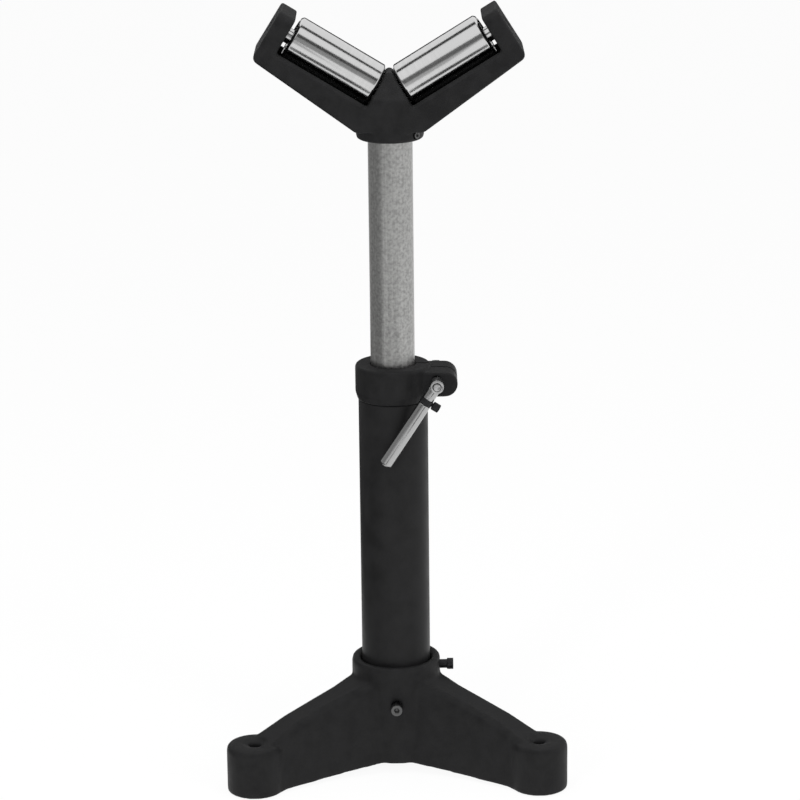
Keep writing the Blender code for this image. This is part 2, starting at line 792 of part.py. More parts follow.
def mast_guide_bush(paint):
    """The plastic guide under the mast, which keeps it centred in the column."""
    outer = COLUMN_INNER - 0.4 * MM
    low = MAST_BOTTOM - GAP - BUSH_LEDGE
    return turned(
        "mast_guide_bush",
        [
            (outer - 1.5 * MM, low + BUSH_HEIGHT),
            (outer, low + BUSH_HEIGHT - 1.5 * MM),
            (outer, low + 1.5 * MM),
            (outer - 1.5 * MM, low),
            (MAST_INNER, low),
            (MAST_INNER, low + BUSH_LEDGE),
            (MAST_RADIUS + GAP, low + BUSH_LEDGE),
            (MAST_RADIUS + GAP, low + BUSH_HEIGHT),
        ],
        PIPE_STEPS,
        paint,
    )


# The V head

def head_point(s, t, side):
    """A point of the head: s along the rollers' top line, t square down from it."""
    x = s * cos(ROLLER_SLOPE) + t * sin(ROLLER_SLOPE)
    z = TOP_LINES_MEET + s * sin(ROLLER_SLOPE) - t * cos(ROLLER_SLOPE)
    return Vector((side * x, 0.0, z))


def roller_way(side):
    return Vector((side * cos(ROLLER_SLOPE), 0.0, sin(ROLLER_SLOPE)))


def roller_down(side):
    return Vector((side * sin(ROLLER_SLOPE), 0.0, -cos(ROLLER_SLOPE)))


def tray_low(s):
    """How far below the top line the tray's underside is."""
    share = (s - WEDGE_SIDE) / (LUG_INNER - WEDGE_SIDE)
    drop = TRAY_DROP_INNER + (TRAY_DROP_OUTER - TRAY_DROP_INNER) * share
    return 2.0 * ROLLER_RADIUS + drop


def head_outline():
    """The right half of the head's outline seen from the front, then its mirror."""
    low_outer = LUG_OUTER + LUG_DRAFT
    corner = arc(low_outer - LUG_LOW_CORNER, 0.0, LUG_LOW_CORNER, 0.0, 80.0, 4)
    low_t = tray_low(low_outer - LUG_LOW_CORNER) - LUG_LOW_CORNER
    right = [(head_point(s, low_t + t, 1.0).x, head_point(s, low_t + t, 1.0).z) for s, t in corner]
    right.append(tuple(head_point(LUG_INNER, tray_low(LUG_INNER), 1.0).xz))
    right = right[::-1]
    shoulder_x = BOSS_RADIUS - 0.6 * MM
    right = [(shoulder_x, BOSS_SHOULDER)] + right
    right += [tuple(head_point(LUG_OUTER, LUG_TOP, 1.0).xz)]
    right += [tuple(head_point(LUG_INNER, LUG_TOP, 1.0).xz)]
    right += [tuple(head_point(LUG_INNER, TRAY_RIM, 1.0).xz)]
    right += [tuple(head_point(WEDGE_SIDE, TRAY_RIM, 1.0).xz)]
    apex_z = TOP_LINES_MEET + WEDGE_SIDE / sin(ROLLER_SLOPE) - WEDGE_CROWN
    apex_x = WEDGE_CROWN * tan(ROLLER_SLOPE)
    right += [(apex_x, apex_z)]
    return right + [(-x, z) for x, z in reversed(right)]


def tray_pocket(name, side):
    """The trough in which a roller lies, open at the top."""
    half = HEAD_HALF_DEPTH - TRAY_WALL
    corners = [
        (WEDGE_SIDE, -4.0 * CUT_PAST),
        (LUG_INNER, -4.0 * CUT_PAST),
        (LUG_INNER, tray_low(LUG_INNER) - TRAY_FLOOR),
        (WEDGE_SIDE, tray_low(WEDGE_SIDE) - TRAY_FLOOR),
    ]
    rings = []
    for y in (-half, half):
        rings.append([head_point(s, t, side) + Vector((0.0, y, 0.0)) for s, t in corners])
    if side < 0.0:
        rings = [ring[::-1] for ring in rings]
    return lofted(name, rings)


def lug_corner(name, side, front):
    """Takes the square top corner off a lug and leaves it round."""
    edge = HEAD_HALF_DEPTH
    outline = [(edge + CUT_PAST, LUG_TOP - CUT_PAST), (edge + CUT_PAST, LUG_TOP + LUG_CORNER)]
    outline += arc(edge - LUG_CORNER, LUG_TOP + LUG_CORNER - LUG_BITE, LUG_CORNER, 0.0, -90.0, 5)
    outline += [(edge - LUG_CORNER, LUG_TOP - CUT_PAST)]
    rings = []
    for s in (LUG_INNER - CUT_PAST, LUG_OUTER + LUG_DRAFT + CUT_PAST):
        rings.append([head_point(s, t, side) + Vector((0.0, front * y, 0.0)) for y, t in outline])
    if side * front > 0.0:
        rings = [ring[::-1] for ring in rings]
    return lofted(name, rings)


def wedge_slope(name, front):
    """Slopes the centre wedge back from the tray's wall to its narrow crown."""
    top = TOP_LINES_MEET + 4.0 * MM
    low = top - WEDGE_FLARE_HEIGHT
    outline = [
        (WEDGE_TOP_HALF_DEPTH, top),
        (HEAD_HALF_DEPTH + 3.0 * MM, low - 4.0 * MM),
        (HEAD_HALF_DEPTH + 12.0 * MM, low - 4.0 * MM),
        (HEAD_HALF_DEPTH + 12.0 * MM, top + 20.0 * MM),
        (WEDGE_TOP_HALF_DEPTH, top + 20.0 * MM),
    ]
    half = WEDGE_FLARE_HEIGHT * tan(ROLLER_SLOPE) - 1.8 * MM
    rings = [[(x, front * y, z) for y, z in outline] for x in (-half, half)]
    if front < 0.0:
        rings = [ring[::-1] for ring in rings]
    return lofted(name, rings)


def axle_hole(name, side):
    start = AXLE_START - GAP
    hole = cylinder(name, AXLE_RADIUS + GAP, LUG_OUTER + LUG_DRAFT + CUT_PAST - start, SMALL_STEPS + 4)
    return aim(hole, head_point(start, ROLLER_RADIUS, side), roller_way(side))


def axle_screw_hole(name, side):
    length = tray_low(LUG_MIDDLE) + CUT_PAST - ROLLER_RADIUS
    hole = cylinder(name, AXLE_SCREW_RADIUS + GAP, length, SMALL_STEPS)
    return aim(hole, head_point(LUG_MIDDLE, ROLLER_RADIUS, side), roller_down(side))


def head_screw_way():
    return Vector((sin(HEAD_SCREW_TURN), -cos(HEAD_SCREW_TURN), 0.0))


def head_casting(paint):
    body = prism("head_casting", head_outline(), -HEAD_HALF_DEPTH, HEAD_HALF_DEPTH, along_y, paint)
    bevel(body, HEAD_EDGE)
    boss = turned(
        "head_boss",
        [
            (0.0, BOSS_SHOULDER + BOSS_BLEND),
            (HEAD_HALF_DEPTH - 1.0 * MM, BOSS_SHOULDER + BOSS_BLEND),
            (BOSS_RADIUS, BOSS_SHOULDER + 2.0 * MM),
            (BOSS_RADIUS, BOSS_BOTTOM + BOSS_EDGE),
            (BOSS_RADIUS - BOSS_EDGE * 0.3, BOSS_BOTTOM + BOSS_EDGE * 0.3),
            (BOSS_RADIUS - BOSS_EDGE, BOSS_BOTTOM),
            (0.0, BOSS_BOTTOM),
        ],
        CASTING_STEPS,
    )
    join(body, boss)
    for side, word in ((-1.0, "left"), (1.0, "right")):
        cut(body, tray_pocket(f"tray_pocket_{word}", side))
    for front, word in ((-1.0, "front"), (1.0, "back")):
        cut(body, wedge_slope(f"wedge_slope_{word}", front))
        cut(body, lug_corner(f"left_corner_{word}", -1.0, front))
        cut(body, lug_corner(f"right_corner_{word}", 1.0, front))
    for side, word in ((-1.0, "left"), (1.0, "right")):
        cut(body, axle_hole(f"axle_hole_{word}", side), axle_screw_hole(f"axle_screw_hole_{word}", side))
    socket = cylinder("mast_socket", HEAD_BORE, MAST_SOCKET_DEPTH + CUT_PAST, PIPE_STEPS)
    socket.location = (0.0, 0.0, BOSS_BOTTOM - CUT_PAST)
    screw_way = cylinder("head_screw_hole", HEAD_SCREW_RADIUS + GAP, BOSS_RADIUS * 2.0, SMALL_STEPS)
    aim(screw_way, (0.0, 0.0, HEAD_SCREW_Z), head_screw_way())
    cut(body, socket, screw_way)
    return body


def socket_grub_screw(name, radius, length, paint):
    """A headless screw with a six-sided socket in its outer end."""
    screw = turned(
        name,
        [
            (0.0, length),
            (radius - 0.6 * MM, length),
            (radius, length - 0.6 * MM),
            (radius, 1.0 * MM),
            (radius - 1.0 * MM, 0.0),
            (0.0, 0.0),
        ],
        SMALL_STEPS,
        paint,
    )
    socket = cylinder(name + "_socket", radius * 0.58, radius * 1.3, 6)
    socket.location = (0.0, 0.0, length - radius)
    socket.parent = screw
    cut(screw, socket)
    return screw


def head_set_screw(paint):
    start = MAST_RADIUS + GAP
    length = BOSS_RADIUS + HEAD_SCREW_STICK_OUT - start
    screw = socket_grub_screw("head_set_screw", HEAD_SCREW_RADIUS, length, paint)
    place = head_screw_way() * start
    return aim(screw, (place.x, place.y, HEAD_SCREW_Z), head_screw_way())


def roller_shell(name, side, paint):
    """A thick tube, chamfered at its ends and counterbored for a bearing at each."""
    pocket = BEARING_SETBACK + BEARING_WIDTH + GAP
    seat = BEARING_RADIUS + GAP
    high = ROLLER_LENGTH
    shell = turned(
        name,
        [
            (ROLLER_RADIUS - ROLLER_CHAMFER, high),
            (ROLLER_RADIUS - ROLLER_CHAMFER * 0.3, high - ROLLER_CHAMFER * 0.4),
            (ROLLER_RADIUS, high - ROLLER_CHAMFER),
            (ROLLER_RADIUS, ROLLER_CHAMFER),
            (ROLLER_RADIUS - ROLLER_CHAMFER * 0.3, ROLLER_CHAMFER * 0.4),
            (ROLLER_RADIUS - ROLLER_CHAMFER, 0.0),
            (seat, 0.0),
            (seat, pocket),
            (ROLLER_INNER_RADIUS, pocket),
            (ROLLER_INNER_RADIUS, high - pocket),
            (seat, high - pocket),
            (seat, high),
        ],
        PIPE_STEPS,
        paint,
    )
    return aim(shell, head_point(ROLLER_START, ROLLER_RADIUS, side), roller_way(side))


def ring(name, outer, inner, width, paint, steps):
    edge = 0.6 * MM
    return turned(
        name,
        [
            (outer - edge, width),
            (outer, width - edge),
            (outer, edge),
            (outer - edge, 0.0),
            (inner, 0.0),
            (inner, width),
        ],
        steps,
        paint,
    )


def bearing_rings(place, side, start, paint):
    """A shielded ball bearing as its two rings; the shields are one with the outer ring."""
    seat = head_point(start, ROLLER_RADIUS, side)
    outer = ring(
        f"bearing_outer_{place}", BEARING_RADIUS, BEARING_RING_SPLIT + GAP / 2.0, BEARING_WIDTH, paint, SMALL_STEPS + 4
    )
    inner = ring(
        f"bearing_inner_{place}", BEARING_RING_SPLIT - GAP / 2.0, AXLE_RADIUS + GAP, BEARING_WIDTH, paint, SMALL_STEPS
    )
    aim(outer, seat, roller_way(side))
    aim(inner, seat, roller_way(side))


def axle(name, side, paint):
    length = LUG_OUTER - AXLE_INSET - AXLE_START
    pin = turned(
        name,
        [
            (0.0, length),
            (AXLE_RADIUS - AXLE_CHAMFER, length),
            (AXLE_RADIUS, length - AXLE_CHAMFER),
            (AXLE_RADIUS, AXLE_CHAMFER),
            (AXLE_RADIUS - AXLE_CHAMFER, 0.0),
            (0.0, 0.0),
        ],
        SMALL_STEPS + 4,
        paint,
    )
    return aim(pin, head_point(AXLE_START, ROLLER_RADIUS, side), roller_way(side))


def axle_screw(name, side, paint):
    start = ROLLER_RADIUS + AXLE_RADIUS + GAP
    length = tray_low(LUG_MIDDLE) - AXLE_SCREW_RECESS - start
    screw = socket_grub_screw(name, AXLE_SCREW_RADIUS, length, paint)
    return aim(screw, head_point(LUG_MIDDLE, start, side), roller_down(side))


def smooth_round_pieces():
    """Shades the finished pieces smooth, and keeps their real edges sharp."""
    for thing in bpy.data.objects:
        if thing.hide_render or thing.type != "MESH":
            continue
        thing.data.shade_smooth()
        thing.data.set_sharp_from_angle(angle=radians(32.0))


def build():
    clear_scene()
    casting = black_casting()
    steel = bright_steel()
    oxide = black_oxide()
    bearing = bearing_steel()
    base_casting(casting)
    hub_set_screw("hub_set_screw_right", HUB_SCREW_RIGHT_Z, (1.0, 0.0, 0.0), oxide)
    hub_set_screw("hub_set_screw_front", HUB_SCREW_FRONT_Z, (0.0, -1.0, 0.0), steel)
    pipe("column_tube", COLUMN_RADIUS, COLUMN_WALL, COLUMN_BOTTOM, COLUMN_TOP, black_tube())
    collar_casting(casting)
    clamp_screw(steel)
    clamp_nut(oxide)
    lever_hub(steel)
    lever_rod(steel)
    lever_ring(oxide)
    lever_cross_bolt(oxide)
    pipe("mast_tube", MAST_RADIUS, MAST_WALL, MAST_BOTTOM, MAST_SOCKET_TOP - GAP, zinc_pipe())
    mast_guide_bush(guide_plastic())
    head_casting(casting)
    head_set_screw(steel)
    for side, word in ((-1.0, "left"), (1.0, "right")):
        roller_shell(f"roller_{word}", side, steel)
        axle(f"axle_{word}", side, steel)
        axle_screw(f"axle_screw_{word}", side, oxide)
        low = ROLLER_START + BEARING_SETBACK
        high = ROLLER_END - BEARING_SETBACK - BEARING_WIDTH
        bearing_rings(f"{word}_low", side, low, bearing)
        bearing_rings(f"{word}_high", side, high, bearing)
    smooth_round_pieces()


build()
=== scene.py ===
# %% [markdown]
# # A roller pipe stand
# A stand like this holds one end of a long pipe while it is cut, threaded or
# welded. A cast base carries a black column, a bright mast slides in it, a
# split collar and a lever lock the mast, and a V head lets the pipe turn and
# travel on two steel rollers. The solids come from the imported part. This
# lesson dresses them: the turned pieces are made again as smooth surfaces of
# revolution, and the castings keep their solids' shapes and get a cast skin.

from math import cos, pi, radians, sin

import bmesh
import bpy
import numpy as np
from mathutils import Matrix, Vector


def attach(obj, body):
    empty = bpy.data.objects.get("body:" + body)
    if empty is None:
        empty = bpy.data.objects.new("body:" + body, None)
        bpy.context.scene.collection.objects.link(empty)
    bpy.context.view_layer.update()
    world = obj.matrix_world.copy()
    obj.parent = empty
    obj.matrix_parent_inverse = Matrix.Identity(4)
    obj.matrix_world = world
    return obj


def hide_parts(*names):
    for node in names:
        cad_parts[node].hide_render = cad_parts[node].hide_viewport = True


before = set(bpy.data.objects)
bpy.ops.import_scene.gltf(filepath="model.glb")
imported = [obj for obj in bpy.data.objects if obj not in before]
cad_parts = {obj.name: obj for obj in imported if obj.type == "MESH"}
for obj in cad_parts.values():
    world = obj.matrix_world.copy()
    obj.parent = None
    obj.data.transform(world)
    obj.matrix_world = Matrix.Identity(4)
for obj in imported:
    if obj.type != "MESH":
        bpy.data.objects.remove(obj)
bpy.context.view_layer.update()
MM = 0.001

# %% [markdown]
# ## Surfaces of revolution
# Nearly every bright piece here came off a lathe, so one function makes them
# all. It takes a profile, a list of points (radius, height), carries it round
# the axis, and puts the result where the piece sits. Real lathe work has no
# knife edges, so a second function rounds every corner of a profile first.
# A row of the profile can also be six-sided, which gives the sockets and nuts.
# Blender's own Screw modifier could turn a profile too, but a grid worked out
# in numpy also gives the threads and an even UV map for the tool marks.

# %% Round a profile's corners


def rounded(profile, radius, steps=4):
    """Each corner B between A and C becomes the quadratic curve (1-t)^2 P + 2t(1-t) B + t^2 Q.

    P and Q lie on the two sides, a distance from B that is the radius asked for,
    held to under half of each side. A third number in a row says how six-sided it is.
    """
    points = [np.array(point[:2], float) for point in profile]
    sides = [point[2] if len(point) > 2 else 0.0 for point in profile]
    made = [(*points[0], sides[0])]
    for before, here, after, six in zip(points[:-2], points[1:-1], points[2:], sides[1:-1]):
        back, ahead = before - here, after - here
        long_back, long_ahead = np.linalg.norm(back), np.linalg.norm(ahead)
        reach = min(radius, 0.45 * long_back, 0.45 * long_ahead)
        first = here + back / long_back * reach
        last = here + ahead / long_ahead * reach
        t = np.linspace(0.0, 1.0, steps + 1)[:, None]
        curve = (1 - t) ** 2 * first + 2 * t * (1 - t) * here + t**2 * last
        made += [(*row, six) for row in curve]
    made.append((*points[-1], sides[-1]))
    return np.array(made)


def ring_profile(outer, inner, low, high, edge):
    """A closed, rounded rectangle: starts half way up the outer side and comes back to it."""
    middle = (low + high) / 2
    loop = [(outer, middle), (outer, low), (inner, low), (inner, high), (outer, high), (outer, middle)]
    return rounded(loop, edge)[:-1]


# %% Carry a profile round its axis


def turned_grid(radius, height, six, steps, thread):
    """P(i, j) = (r_i w_j cos a_j, r_i w_j sin a_j, h_i), with a_j = 2 pi j / steps.

    w_j is 1 on a round row; on a six-sided row it is cos 30 / cos(a_j mod 60 - 30),
    so the row's radius is the distance to a corner. A thread adds to the radius a
    wave whose phase is h_i / pitch - a_j / 2 pi, which climbs one pitch a turn.
    """
    angle = 2 * pi * np.arange(steps) / steps
    hexagon = cos(pi / 6) / np.cos(np.mod(angle, pi / 3) - pi / 6)
    grid_radius = radius[:, None] * (1 + six[:, None] * (hexagon[None, :] - 1))
    if thread is not None:
        low, high, pitch, depth = thread
        phase = np.mod(height[:, None] / pitch - angle[None, :] / (2 * pi), 1.0)
        wave = np.abs(2 * phase - 1) - 1
        inside = np.clip((height - low) / pitch, 0, 1) * np.clip((high - height) / pitch, 0, 1)
        grid_radius = grid_radius + depth * wave * inside[:, None]
    levels = np.broadcast_to(height[:, None], grid_radius.shape)
    return np.stack([grid_radius * np.cos(angle), grid_radius * np.sin(angle), levels], axis=-1)


# %% Faces between the rows, with their UV map
AT_AXIS = 1e-9


def turned_faces(radius, height, steps):
    """Face (i, j) joins rows i and i + 1 between the columns j and j + 1.

    A profile that starts or ends on the axis closes there in a pole, and any other
    profile closes on itself. The UV is (j / steps, length run along the profile).
    """
    rows = len(radius)
    pole = radius < AT_AXIS
    loop = not (pole[0] or pole[-1])
    number = np.arange(rows * steps).reshape(rows, steps)
    number[pole] = number[pole][:, :1]
    below = np.arange(rows if loop else rows - 1)
    above = (below + 1) % rows
    column = np.arange(steps)
    following = (column + 1) % steps
    corners = np.stack(
        [number[row][:, place] for row, place in
         ((below, column), (below, following), (above, following), (above, column))],
        axis=-1,
    )
    along = np.concatenate([[0.0], np.cumsum(np.hypot(np.diff(radius), np.diff(height)))])
    v_low = np.broadcast_to(along[:rows][below][:, None], (len(below), steps))
    v_high = np.broadcast_to(np.append(along, along[-1])[below + 1][:, None], (len(below), steps))
    u_left = np.broadcast_to((column / steps)[None, :], v_low.shape)
    u_right = u_left + 1 / steps
    coords = np.stack(
        [np.stack([u, v], -1) for u, v in
         ((u_left, v_low), (u_right, v_low), (u_right, v_high), (u_left, v_high))],
        axis=2,
    )
    return corners.reshape(-1, 4)[:, ::-1], coords.reshape(-1, 4, 2)[:, ::-1]


# %% Make the turned piece


def axis_matrix(start, direction):
    """A frame whose Z axis runs along the direction, with its origin at the start."""
    turn = Vector(direction).normalized().to_track_quat("Z", "Y")
    return Matrix.Translation(Vector(start)) @ turn.to_matrix().to_4x4()


def lathe(name, profile, place, steps=96, thread=None):
    """The grid of a profile, turned and moved into place: P' = R P + start.

    At a pole two corners of each face are one point, so a triangle is made there.
    """
    profile = np.asarray(profile, float)
    radius, height = profile[:, 0], profile[:, 1]
    six = profile[:, 2] if profile.shape[1] > 2 else np.zeros(len(radius))
    grid = turned_grid(radius, height, six, steps, thread)
    faces, coords = turned_faces(radius, height, steps)
    top_pole = faces[:, 0] == faces[:, 1]
    low_pole = faces[:, 2] == faces[:, 3]
    kinds = (
        (~(top_pole | low_pole), [0, 1, 2, 3]),
        (top_pole, [0, 2, 3]),
        (low_pole, [0, 1, 2]),
    )
    used = np.unique(faces)
    renumber = np.zeros(len(radius) * steps, int)
    renumber[used] = np.arange(len(used))
    face_list = [face for which, keep in kinds for face in renumber[faces[which][:, keep]].tolist()]
    uv = np.concatenate([coords[which][:, keep].reshape(-1, 2) for which, keep in kinds])
    points = grid.reshape(-1, 3)[used] @ np.array(place.to_3x3()).T + np.array(place.translation)
    mesh = bpy.data.meshes.new(name)
    mesh.from_pydata(points.tolist(), [], face_list)
    layer = mesh.uv_layers.new(name="surface")
    layer.data.foreach_set("uv", uv.astype(np.float32).ravel())
    mesh.update()
    mesh.shade_smooth()
    made = bpy.data.objects.new(name, mesh)
    bpy.context.scene.collection.objects.link(made)
    return made


# %% Seat a piece on the body that carries it


def facing_out(thing):
    """The signed volume of a closed mesh, the sum of a . (b x c) / 6 over its triangles, is above zero."""
    mesh = thing.data
    mesh.calc_loop_triangles()
    points = np.empty(len(mesh.vertices) * 3)
    mesh.vertices.foreach_get("co", points)
    points = points.reshape(-1, 3)
    index = np.empty(len(mesh.loop_triangles) * 3, int)
    mesh.loop_triangles.foreach_get("vertices", index)
    a, b, c = points[index.reshape(-1, 3)].transpose(1, 0, 2)
    volume = np.einsum("ij,ij->i", a, np.cross(b, c)).sum() / 6
    if volume < 0:
        mesh.flip_normals()
    return abs(volume)


def seat(thing, body, look, node):
    """Gives a finished piece its finish and the body it moves with, and hides the CAD node it stands for."""
    volume = facing_out(thing)
    thing.data.materials.clear()
    thing.data.materials.append(look)
    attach(thing, body)
    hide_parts(node)
    print(f"{thing.name}: {len(thing.data.polygons)} faces, {volume * 1e6:.1f} cm3")


# %% [markdown]
# ## Finishes
# The real stand has thick black paint on rough castings, the same black on a
# smooth pipe, dull zinc on the mast, bright turned steel on the rollers and
# duller drawn steel on the lever. The screws are oiled black or worn to a
# dull grey, the bearings are ground, and the bush is dark plastic. Each could
# be one flat colour, but real paint is uneven and real steel carries the
# marks of the tool. The marks are made in two node groups that every finish
# shares, one for grain that lies on the surface and one for marks that follow
# the lathe, so each finish only states its own scales.

# %% Node helpers


def wire(tree, kind, inputs=None, **settings):
    """A new node whose inputs are linked where a socket is given, and set where a value is."""
    node = tree.nodes.new(kind)
    for key, value in settings.items():
        setattr(node, key, value)
    for key, value in (inputs or {}).items():
        if isinstance(value, bpy.types.NodeSocket):
            tree.links.new(value, node.inputs[key])
        else:
            node.inputs[key].default_value = value
    return node


def new_group(name, inputs, outputs):
    """An empty node group with named number sockets, and its input and output nodes."""
    group = bpy.data.node_groups.new(name, "ShaderNodeTree")
    for label, default in inputs:
        socket = group.interface.new_socket(label, in_out="INPUT", socket_type="NodeSocketFloat")
        socket.default_value = default
    for label in outputs:
        group.interface.new_socket(label, in_out="OUTPUT", socket_type="NodeSocketFloat")
    return group, group.nodes.new("NodeGroupInput"), group.nodes.new("NodeGroupOutput")


# %% Grain that lies on a surface


def grain_group():
    """Coarse and fine noise in the object's own metres: Height for a bump, Patch for slow changes."""
    group, given, told = new_group(
        "surface grain",
        [("Fine scale", 500.0), ("Coarse scale", 40.0), ("Coarse share", 0.4)],
        ["Height", "Patch"],
    )
    place = wire(group, "ShaderNodeTexCoord").outputs["Object"]
    fine, coarse = [
        wire(group, "ShaderNodeTexNoise", {"Vector": place, "Scale": given.outputs[scale], "Detail": detail})
        for scale, detail in (("Fine scale", 3.0), ("Coarse scale", 4.0))
    ]
    shares = {"Factor": given.outputs["Coarse share"], "A": fine.outputs["Fac"], "B": coarse.outputs["Fac"]}
    both = wire(group, "ShaderNodeMix", shares)
    stretch = {"Value": coarse.outputs["Fac"], "From Min": 0.35, "From Max": 0.65}
    patch = wire(group, "ShaderNodeMapRange", stretch)
    group.links.new(both.outputs["Result"], told.inputs["Height"])
    group.links.new(patch.outputs["Result"], told.inputs["Patch"])
    return group


grain = grain_group()
print("group:", grain.name)

# %% Marks left by a lathe or a drawing die
BAND_SCALE = 0.13  # the slow bands are the same noise, this much larger


def marks_group():
    """Noise at (k cos 2 pi u, k sin 2 pi u, m v), read from the piece's own UV map.

    The turn round the piece is a circle in the noise, so the marks have no seam.
    k is the scale round the piece and m the scale along it.
    """
    group, given, told = new_group(
        "tool marks", [("Round scale", 2.0), ("Along scale", 900.0)], ["Marks", "Bands"]
    )

    def maths(kind, first, second=None):
        """One Math node on one or two inputs."""
        inputs = {0: first} if second is None else {0: first, 1: second}
        return wire(group, "ShaderNodeMath", inputs, operation=kind).outputs[0]

    surface = wire(group, "ShaderNodeUVMap", uv_map="surface").outputs["UV"]
    apart = wire(group, "ShaderNodeSeparateXYZ", {"Vector": surface}).outputs
    whole_turn = maths("MULTIPLY", apart["X"], 2 * pi)
    around = [maths(kind, whole_turn) for kind in ("COSINE", "SINE")]
    spread = [maths("MULTIPLY", part, given.outputs["Round scale"]) for part in around]
    along = maths("MULTIPLY", apart["Y"], given.outputs["Along scale"])
    place = wire(group, "ShaderNodeCombineXYZ", {"X": spread[0], "Y": spread[1], "Z": along}).outputs[0]
    marks = wire(group, "ShaderNodeTexNoise", {"Vector": place, "Scale": 1.0, "Detail": 2.0})
    slower = wire(group, "ShaderNodeVectorMath", {0: place, "Scale": BAND_SCALE}, operation="SCALE")
    bands = wire(
        group, "ShaderNodeTexNoise", {"Vector": slower.outputs["Vector"], "Scale": 1.0, "Detail": 1.0}
    )
    group.links.new(marks.outputs["Fac"], told.inputs["Marks"])
    group.links.new(bands.outputs["Fac"], told.inputs["Bands"])
    return group


tool_marks = marks_group()
print("group:", tool_marks.name)

# %% One function lays a finish


def finish(name, dark, light, rough, metal, grain_in=None, marks_in=None, bump=(0.1, 0.0005), specular=0.5):
    """Colour = dark + c (light - dark) and roughness = low + c (high - low).

    c is the grain's patches on a rough piece and the marks' bands on a turned one.
    Where both are given, c is the mean of the marks and the patches.
    """
    made = bpy.data.materials.new(name)
    made.use_nodes = True
    tree = made.node_tree
    shader = tree.nodes["Principled BSDF"]
    if marks_in is None:
        source = wire(tree, "ShaderNodeGroup", grain_in, node_tree=grain)
        height, change = source.outputs["Height"], source.outputs["Patch"]
    else:
        source = wire(tree, "ShaderNodeGroup", marks_in, node_tree=tool_marks)
        height, change = source.outputs["Marks"], source.outputs["Bands"]
        if grain_in is not None:
            patchy = wire(tree, "ShaderNodeGroup", grain_in, node_tree=grain)
            shares = {"Factor": 0.5, "A": source.outputs["Marks"], "B": patchy.outputs["Patch"]}
            change = wire(tree, "ShaderNodeMix", shares).outputs["Result"]
    colour = wire(tree, "ShaderNodeMix", data_type="RGBA")
    colour.inputs[6].default_value = (*dark, 1.0)
    colour.inputs[7].default_value = (*light, 1.0)
    tree.links.new(change, colour.inputs[0])
    roughness = wire(tree, "ShaderNodeMapRange", {"Value": change, "To Min": rough[0], "To Max": rough[1]})
    relief = wire(tree, "ShaderNodeBump", {"Strength": bump[0], "Distance": bump[1], "Height": height})
    tree.links.new(colour.outputs[2], shader.inputs["Base Color"])
    tree.links.new(roughness.outputs["Result"], shader.inputs["Roughness"])
    tree.links.new(relief.outputs["Normal"], shader.inputs["Normal"])
    shader.inputs["Metallic"].default_value = metal
    shader.inputs["Specular IOR Level"].default_value = specular
    return made


# %% Paint, zinc and plastic
cast_paint = finish(
    "cast paint", (0.0082, 0.0082, 0.0085), (0.013, 0.013, 0.0134), (0.46, 0.6), 0.0,
    {"Fine scale": 620.0, "Coarse scale": 70.0, "Coarse share": 0.45}, bump=(0.4, 0.0006), specular=0.16,
)
tube_paint = finish(
    "tube paint", (0.0092, 0.0092, 0.0095), (0.0128, 0.0128, 0.0132), (0.4, 0.5), 0.0,
    {"Fine scale": 900.0, "Coarse scale": 55.0, "Coarse share": 0.3}, bump=(0.12, 0.0003), specular=0.16,
)
zinc_coat = finish(
    "zinc coat", (0.22, 0.22, 0.215), (0.52, 0.52, 0.51), (0.28, 0.38), 1.0,
    {"Fine scale": 700.0, "Coarse scale": 320.0, "Coarse share": 0.5},
    {"Round scale": 16.0, "Along scale": 1.5}, bump=(0.12, 0.0004),
)
guide_plastic = finish(
    "guide plastic", (0.05, 0.05, 0.054), (0.07, 0.07, 0.075), (0.5, 0.62), 0.0,
    {"Fine scale": 500.0, "Coarse scale": 60.0, "Coarse share": 0.5}, bump=(0.1, 0.0003),
)

# %% Steels
turned_steel = finish(
    "turned steel", (0.56, 0.56, 0.56), (0.7, 0.7, 0.7), (0.12, 0.18), 1.0,
    None, {"Round scale": 1.5, "Along scale": 2400.0}, bump=(0.05, 0.0002),
)
drawn_steel = finish(
    "drawn steel", (0.22, 0.22, 0.22), (0.62, 0.62, 0.62), (0.14, 0.24), 1.0,
    None, {"Round scale": 5.0, "Along scale": 8.0}, bump=(0.1, 0.0003),
)
dulled_steel = finish(
    "dulled steel", (0.09, 0.09, 0.09), (0.16, 0.16, 0.16), (0.34, 0.46), 1.0,
    None, {"Round scale": 3.0, "Along scale": 900.0}, bump=(0.06, 0.0002),
)
ground_steel = finish(
    "ground steel", (0.42, 0.42, 0.43), (0.54, 0.54, 0.55), (0.2, 0.3), 1.0,
    None, {"Round scale": 3.0, "Along scale": 3000.0}, bump=(0.04, 0.0002),
)
black_screw = finish(
    "black screw", (0.012, 0.012, 0.013), (0.022, 0.022, 0.024), (0.34, 0.46), 0.5,
    {"Fine scale": 1200.0, "Coarse scale": 200.0, "Coarse share": 0.5}, bump=(0.1, 0.0002), specular=0.3,
)
print("finishes:", len(bpy.data.materials))

# %% [markdown]
# ## The castings
# The base, the collar and the head are sand castings: every inside corner has
# a fillet and every edge is blunt. Rounding each edge by hand would take long
# and would miss where legs, hub and feet run into each other. Rebuilding the
# solid as small cells and then smoothing them does to the shape what the sand
# and the thick paint do. It is done twice, because large cells laid straight
# on a sharp edge leave teeth: fine cells blunt the edges first. The base and
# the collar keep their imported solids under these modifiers.

# %% Give each casting its skin


def cells_and_rounds(casting, cell, rounds):
    """One rebuild in cells of one size, relaxed a number of times."""
    cells = casting.modifiers.new("cells", "REMESH")
    cells.mode = "VOXEL"
    cells.voxel_size = cell
    cells.use_smooth_shade = True
    soften = casting.modifiers.new("soften", "SMOOTH")
    soften.factor = 0.5
    soften.iterations = rounds


